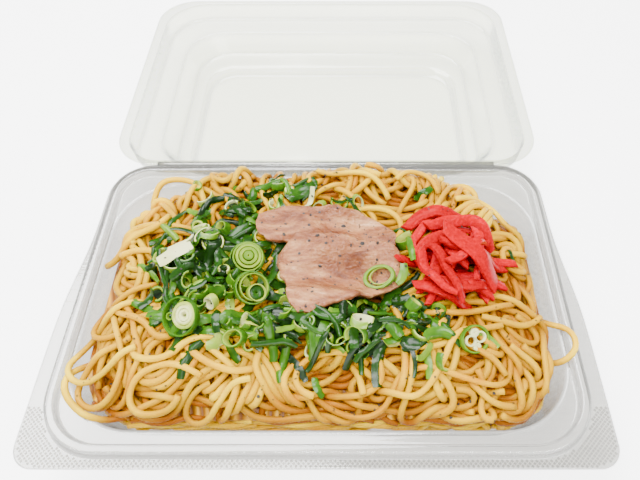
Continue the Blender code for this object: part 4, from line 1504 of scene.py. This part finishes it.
print("ginger of", RANDOM_GINGER + len(LAID_GINGER), "sticks")

# %% [markdown]
# The largest rings of spring onion lie on top of everything. Near the root a stem is layer within
# layer, so a ring there is a set of rings that have slipped a little: some out of the ring around
# them, some upwards. Each layer below is its middle's X and Y, its radius, wall, foot, top and paleness.


# %% Large rings
def stem_slice(name, place, layers, tilt, oval=1.0, turn=0.0):
    """A slice of stem, laid on the relief."""
    bm = marked_mesh()
    made = []
    for x, y, radius, wall, foot, top, pale in layers:
        ring = stem_ring(bm, radius, wall, top - foot, pale, pale + 0.1, 0.5, steps=28)
        bmesh.ops.translate(bm, vec=(x, y, foot), verts=ring)
        made.extend(ring)
    bmesh.ops.scale(bm, vec=(1, oval, 1), verts=made)
    lay(bm, made, relief, place, turn, tilt, soft=soft_relief)
    press_down(bm)
    piece = put_in_scene(name + "_cut", bm, spring_onion, "tray", 50)
    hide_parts(name)


soft_relief = blurred(relief, 1.5, 4.0)
stem_slice("scallion_ring_left", (-47, -21), (
    (0.0, 0.0, 7.6, 0.7, 0.0, 2.2, 0.15), (2.0, 0.2, 5.2, 1.3, 0.4, 2.0, 0.55),
    (2.3, 0.3, 3.8, 1.3, 0.4, 2.2, 0.65), (2.6, 0.2, 2.4, 1.2, 0.4, 2.4, 0.7),
    (2.0, 0.2, 5.0, 4.4, 0.2, 1.5, 0.6), (-4.4, 0.6, 1.6, 0.5, 0.0, 1.8, 0.3),
), (0.06, -0.05), 0.92)
stem_slice("scallion_ring_right", (54, -27), (
    (0.0, 0.0, 6.2, 0.9, 0.0, 1.8, 0.25), (-1.9, -0.3, 2.5, 0.8, 0.2, 1.5, 0.8),
    (2.3, 0.4, 2.6, 0.8, 0.2, 1.5, 0.8), (0.3, 2.8, 1.9, 1.7, 0.2, 1.4, 0.85),
    (0.2, -3.4, 1.7, 1.5, 0.2, 1.4, 0.85),
), (0.1, 0.12), 0.8, 0.3)
stem_slice("scallion_ring_on_pork", (22, -6), (
    (0.0, 0.0, 6.0, 1.5, 0.0, 2.4, 0.34), (0.6, 0.3, 4.3, 0.5, 0.2, 1.7, 0.5),
), (0.12, -0.1), 0.72, 0.15)
stem_slice("scallion_ring_upper", (-27, 6), (
    (-0.5, -0.6, 6.6, 0.6, 0.0, 3.0, 0.25), (0.0, 0.0, 5.9, 0.8, 0.6, 4.0, 0.33),
    (0.2, 0.3, 5.0, 1.3, 1.0, 4.4, 0.42), (0.3, 0.4, 3.6, 1.5, 1.2, 4.8, 0.38), (0.3, 0.5, 2.0, 1.9, 1.0, 5.1, 0.34),
), (0.42, -0.1), 0.95)
stem_slice("scallion_ring_lower", (-25, -9), (
    (0.0, 0.0, 6.5, 0.8, 0.0, 3.0, 0.22), (0.5, 0.3, 5.4, 0.5, 0.2, 3.3, 0.4),
    (1.8, -1.6, 3.4, 0.5, 0.2, 4.0, 0.5), (1.8, -1.6, 2.9, 2.7, 0.2, 3.2, 0.02),
), (0.3, 0.1), 0.95)
print("five large rings laid")

# %% Loose bits on top
small_ring(chopped, relief, (15, -27), 4.6, 0.3, 4.6)
small_ring(chopped, relief, (42, -35), 4.0, 0.3, 2.6)
leaf_bit(chopped, relief, (30.5, -2), -1.45, 9, 3.2, 0.35, 0.6)
leaf_bit(chopped, relief, (33, 12), -1.6, 14, 2.6, 0.2, 0.7)
leaf_bit(chopped, relief, (-1, -39), -1.5, 8, 2.6, 0.12, 0.5)
leaf_bit(chopped, relief, (74, 13), -1.2, 6, 2.2, 0.05, 0.8)
leaf_bit(chopped, relief, (-22, -32), 0.25, 17, 3.2, 0.1, 0.7)
leaf_bit(chopped, relief, (38, 37), 0.1, 9, 3.0, 0.05, 0.5)
leaf_bit(chopped, relief, (-14, 33), 0.75, 14, 5.5, 0.1, 0.7)
leaf_bit(chopped, relief, (-7, 31), 1.0, 9, 2.4, 0.9, 0.4)
leaf_bit(chopped, relief, (-58, -2), 0.45, 15, 5.0, 0.85, 0.5)
leaf_bit(chopped, relief, (-55, 3), 0.3, 12, 3.5, 0.75, 0.6)
leaf_bit(chopped, relief, (-28, 40), 0.2, 12, 3.4, 0.1, 1.0)
leaf_bit(chopped, relief, (-22, 44), 1.0, 8, 2.6, 0.1, 1.1)
press_down(chopped)
onion = put_in_scene("chopped_spring_onion", chopped, spring_onion, "tray", 50)
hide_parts("scallions")

# %% [markdown]
# ## Noodles against the film
#
# The tray is clear, so the noodles at its wall show from the side, pressed flat against it. They are
# settled like the heap, but on the wall rolled out flat: the way round is X, the height is Y, and the
# distance from the film is Z. Then they are rolled back up. The bottom gets one loose layer.

# %% Noodles along the wall
WALL_NOODLE_LOW, WALL_NOODLE_HIGH = 3.2, 19.5
wall_line = np.array(mouth_outline(0.0))
wall_steps = np.linalg.norm(np.diff(wall_line, axis=0, append=wall_line[:1]), axis=1)
wall_along = np.concatenate([[0], np.cumsum(wall_steps)])
WALL_LENGTH = wall_along[-1]


def on_wall(round_place):
    """Where a place along the mouth's edge is, and the way inwards from there."""
    closed = np.vstack([wall_line, wall_line[:1]])
    x, y = (np.interp(round_place, wall_along, closed[:, axis]) for axis in (0, 1))
    _, out_x, out_y = rounded_box_gap(x, y, MOUTH_HALF_WIDTH, MOUTH_HALF_DEPTH, MOUTH_CORNER)
    return x, y, -out_x, -out_y


def wall_region(x, y):
    return rounded_box_gap(
        x - WALL_LENGTH / 2, y - (WALL_NOODLE_LOW + WALL_NOODLE_HIGH) / 2, WALL_LENGTH / 2,
        (WALL_NOODLE_HIGH - WALL_NOODLE_LOW) / 2, 4.0,
    )


def keep_on_wall(points, is_pinned):
    """No strand leaves the rolled-out wall, nor stands where the heap has fallen away."""
    flat_x = np.clip(points[:, 0], 1, WALL_LENGTH - 1)
    x, y, _, _ = on_wall(flat_x)
    waver = 1.5 * np.sin(0.17 * flat_x) + 1.1 * np.sin(0.41 * flat_x + 1) + 0.5 * np.sin(0.9 * flat_x)
    highest = np.clip(corner_ceiling(x, y) - 2, 2.0, WALL_NOODLE_HIGH + waver)
    return np.column_stack([flat_x, np.clip(points[:, 1], 2.0 + 0.4 * (waver + 2), highest)])


def flat_floor(x, y):
    """The strands touch the film only here and there."""
    away = 1.2 + 0.9 * np.sin(0.23 * x + 0.3 * y) + 0.6 * np.sin(0.61 * x - 0.4 * y)
    return NOODLE_RADIUS + 0.1 + np.maximum(away, 0)


def flat_ceiling(x, y):
    return np.full_like(x, 6.5)


def rolled_up(points):
    x, y, in_x, in_y = on_wall(points[:, 0])
    inset = points[:, 2] + 0.8 + (RIM_Z - points[:, 1]) * WALL_DRAFT / (RIM_Z - WALL_FOOT)
    return np.column_stack([x + in_x * inset, y + in_y * inset, points[:, 1]])


wall_strands = strand_bundles(2700, (5, 4), (WALL_LENGTH - 5, 18), wall_region, (0.05, 0.12), 0.35)
flat_points, wall_numbers = settled(
    wall_strands, flat_floor, flat_ceiling, keep_on_wall, np.zeros(len(wall_strands)), 60, 0.08
)
wall_noodles = noodle_piece("wall_strands", rolled_up(flat_points), wall_numbers, 1, wheat_noodle, 0.2)

# %% Noodles on the bottom
def bottom_region(x, y):
    return region_gap(x, y, 74.0, 41.0, 18.0, 12.0)


def bottom_floor(x, y):
    return np.full_like(x, FOOT + 0.2 + NOODLE_RADIUS)


def keep_on_bottom(points, is_pinned):
    gap, way_x, way_y = rounded_box_gap(points[:, 0], points[:, 1], 79.0, 45.0, 20.0)
    inward = np.maximum(gap, 0)
    return np.column_stack([points[:, 0] - way_x * inward, points[:, 1] - way_y * inward])


bottom_strands = strand_bundles(2600, (-70, -38), (70, 38), bottom_region)
bottom_points, bottom_numbers = settled(
    bottom_strands, bottom_floor, flat_ceiling, keep_on_bottom, np.zeros(len(bottom_strands)), 60, 0.08
)
bottom_noodles = noodle_piece("bottom_strands", bottom_points, bottom_numbers, 1, wheat_noodle, 0.2)

# %% [markdown]
# ## Pepper
#
# Ground black pepper is flakes of the dark skin and grains of the white inside, 0.3 to 1 mm across.
# Each flake is a squashed icosphere stuck to what lies highest at its place.


# %% Pepper flakes
def pepper_material():
    made, tree, output = new_material("ground_black_pepper")
    places = add_node(tree, "ShaderNodeTexCoord").outputs["Object"]
    crush = add_node(
        tree, "ShaderNodeTexNoise", {"Scale": 1 / (0.5 * MM), "Detail": 2.0}, {"Vector": places}
    ).outputs["Fac"]
    colour = colour_ramp(tree, crush, [(0.4, "#080503"), (0.6, "#1A120A"), (0.78, "#4A3820")])
    surface = add_node(tree, "ShaderNodeBsdfPrincipled", {"Roughness": 0.6}, {"Base Color": colour})
    tree.links.new(surface.outputs[0], output.inputs["Surface"])
    return made


def pepper_flake(bm, x, y, size):
    made = bmesh.ops.create_icosphere(bm, subdivisions=1, radius=size / 2)["verts"]
    bmesh.ops.scale(bm, vec=(1, rng.uniform(0.5, 0.9), rng.uniform(0.3, 0.6)), verts=made)
    turn = Matrix.Rotation(rng.uniform(0, 6.28), 4, "Z") @ Matrix.Rotation(rng.normal(0, 0.4), 4, "X")
    bmesh.ops.transform(bm, matrix=turn, verts=made)
    under = food_tree.ray_cast(Vector((x * MM, y * MM, 2 * TOP_Z * MM)), Vector((0, 0, -1)))[0]
    if under is None:
        bmesh.ops.delete(bm, geom=made, context="VERTS")
        return
    bmesh.ops.translate(bm, vec=(x, y, min(under.z / MM, TOP_Z - size / 2)), verts=made)


food = bmesh.new()
for piece in (noodle_heap, core, onion, pickled, *slices):
    food.from_mesh(piece.data)
food_tree = BVHTree.FromBMesh(food)
food.free()
pepper = bmesh.new()
PEPPER_COUNT = 380
placed = 0
while placed < PEPPER_COUNT:
    x, y = rng.uniform(-84, 84), rng.uniform(-54, 54)
    if y < heap_back(x) - 2:
        pepper_flake(pepper, x, y, min(rng.lognormal(-0.15, 0.35), 1.5))
        placed += 1
for _ in range(90):
    x, y = rng.uniform(-22, 28), rng.uniform(-16, 25)
    pepper_flake(pepper, x, y, min(rng.lognormal(0.12, 0.4), 2.2))
flakes = put_in_scene("pepper_flakes", pepper, pepper_material(), "tray", 30)
print(PEPPER_COUNT + 90, "flakes of pepper")

# %% [markdown]
# ## Grip and hinge
#
# The front flange and its ears are embossed with small diamonds, so that wet fingers can pull the pack
# open. The fold is a thin crease of the same film. It belongs half to the tray and half to the lid, so
# it is blended between them and bends as the lid shuts.

# %% Embossed grip
GRIP_PITCH, GRIP_HEIGHT = 1.6, 0.27  # lower than the gap to the shut lid's flange


def grip_mesh():
    """Rows of low four-sided points on the flange, outside the bead."""
    bm = bmesh.new()
    rows = int(40 / GRIP_PITCH)
    for row in range(rows):
        y = -HINGE_Y + 1.0 + row * GRIP_PITCH * 0.5
        shift = GRIP_PITCH / 2 * (row % 2)
        for column in range(int(2 * FLANGE_HALF_WIDTH / GRIP_PITCH)):
            x = -FLANGE_HALF_WIDTH + 1.0 + column * GRIP_PITCH + shift
            edge = rounded_box_gap(x, y, FLANGE_HALF_WIDTH - 0.9, HINGE_Y - 0.9, FLANGE_FRONT_CORNER)[0]
            bead = rounded_box_gap(x, y, BEAD_HALF_WIDTH + 0.9, BEAD_HALF_DEPTH + 0.7, BEAD_FRONT_CORNER)[0]
            if edge < 0 < bead and y < -BEAD_HALF_DEPTH + BEAD_FRONT_CORNER + 3:
                made = bmesh.ops.create_cone(
                    bm, cap_ends=False, segments=4, radius1=GRIP_PITCH * 0.4, radius2=0.0,
                    depth=GRIP_HEIGHT,
                )["verts"]
                bmesh.ops.translate(bm, vec=(x, y, RIM_Z + GRIP_HEIGHT / 2 - 0.03), verts=made)
    bmesh.ops.remove_doubles(bm, verts=bm.verts, dist=0.001)
    return bm


grip = put_in_scene("embossed_grip", grip_mesh(), tray_sheet, "tray", 20)
print("grip of", len(grip.data.polygons), "faces")

# %% Fold between tray and lid
FOLD_HALF_LENGTH, FOLD_REACH = 78.0, 1.6


def fold_mesh():
    """A thin strip over the fold, with a crease along its middle."""
    bm = bmesh.new()
    bmesh.ops.create_grid(bm, x_segments=40, y_segments=12, size=1.0)
    for vert in bm.verts:
        across = vert.co.y * FOLD_REACH
        dip = 0.16 * max(1 - abs(across) / 0.5, 0.0)
        vert.co = Vector((vert.co.x * FOLD_HALF_LENGTH, HINGE_Y + across, RIM_Z + 0.08 - dip))
    return bm


fold = put_in_scene("fold_film", fold_mesh(), tray_sheet, None, 180)
thickness = fold.modifiers.new("film", "SOLIDIFY")
thickness.thickness = 0.2 * MM
thickness.offset = -1.0
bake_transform(fold, "tray", "lid", start=(0, (HINGE_Y - 0.5) * MM, RIM_Z * MM), end=(0, (HINGE_Y + 0.5) * MM, RIM_Z * MM))
print("fold", round(2 * FOLD_HALF_LENGTH), "mm long")

# %% [markdown]
# ## Floor, light and camera
#
# The pack stands on plain white. A very large soft light above leaves almost no shadow, and gives the
# film its long soft lights. The world fills in from all sides.

# %% Stage
def stage_floor():
    floor_mesh = bmesh.new()
    bmesh.ops.create_grid(floor_mesh, x_segments=1, y_segments=1, size=3.0)
    mesh = bpy.data.meshes.new("floor")
    floor_mesh.to_mesh(mesh)
    floor_mesh.free()
    made, tree, output = new_material("lit_white_acrylic")
    paper = add_node(tree, "ShaderNodeBsdfDiffuse", {"Color": linear("#F7F7F7")})
    glow = add_node(tree, "ShaderNodeEmission", {"Strength": 3.0})
    both = add_node(tree, "ShaderNodeAddShader", links={0: paper.outputs[0], 1: glow.outputs[0]})
    tree.links.new(both.outputs[0], output.inputs["Surface"])
    mesh.materials.append(made)
    floor = bpy.data.objects.new("floor", mesh)
    bpy.context.scene.collection.objects.link(floor)


def area_light(name, place, target, size, watts):
    lamp = bpy.data.lights.new(name, "AREA")
    lamp.shape = "RECTANGLE"
    lamp.size, lamp.size_y = size
    lamp.energy = watts
    holder = bpy.data.objects.new(name, lamp)
    holder.location = place
    holder.rotation_euler = (Vector(target) - Vector(place)).to_track_quat("-Z", "Y").to_euler()
    bpy.context.scene.collection.objects.link(holder)


stage_floor()
area_light("overhead_softbox", (-0.25, 0.35, 0.9), (0, 0.02, 0), (0.8, 0.6), 28)
area_light("front_fill", (0.3, -0.8, 0.7), (0, 0, 0), (0.8, 0.5), 5)
area_light("bead_strip", (0.0, -0.25, 0.75), (0, 0, 0), (1.2, 0.04), 14)
world = bpy.data.worlds.new("pale_room")
world.use_nodes = True
world.node_tree.nodes["Background"].inputs["Color"].default_value = linear("#FFFFFF")
world.node_tree.nodes["Background"].inputs["Strength"].default_value = 0.55
bpy.context.scene.world = world

# %% Camera
lens = bpy.data.cameras.new("camera")
lens.lens, lens.sensor_width = 31.76, 36.0
lens.shift_x = -0.0448
lens.clip_start = 0.01
camera = bpy.data.objects.new("camera", lens)
camera.location = (10.6 * MM, -114.7 * MM, 217.1 * MM)
camera.rotation_euler = (math.radians(90 - 54.01), 0, 0)
bpy.context.scene.collection.objects.link(camera)
bpy.context.scene.camera = camera

# %% Sizes for comparison, and the finished scene
bpy.context.view_layer.update()
print("packed", packed_box)
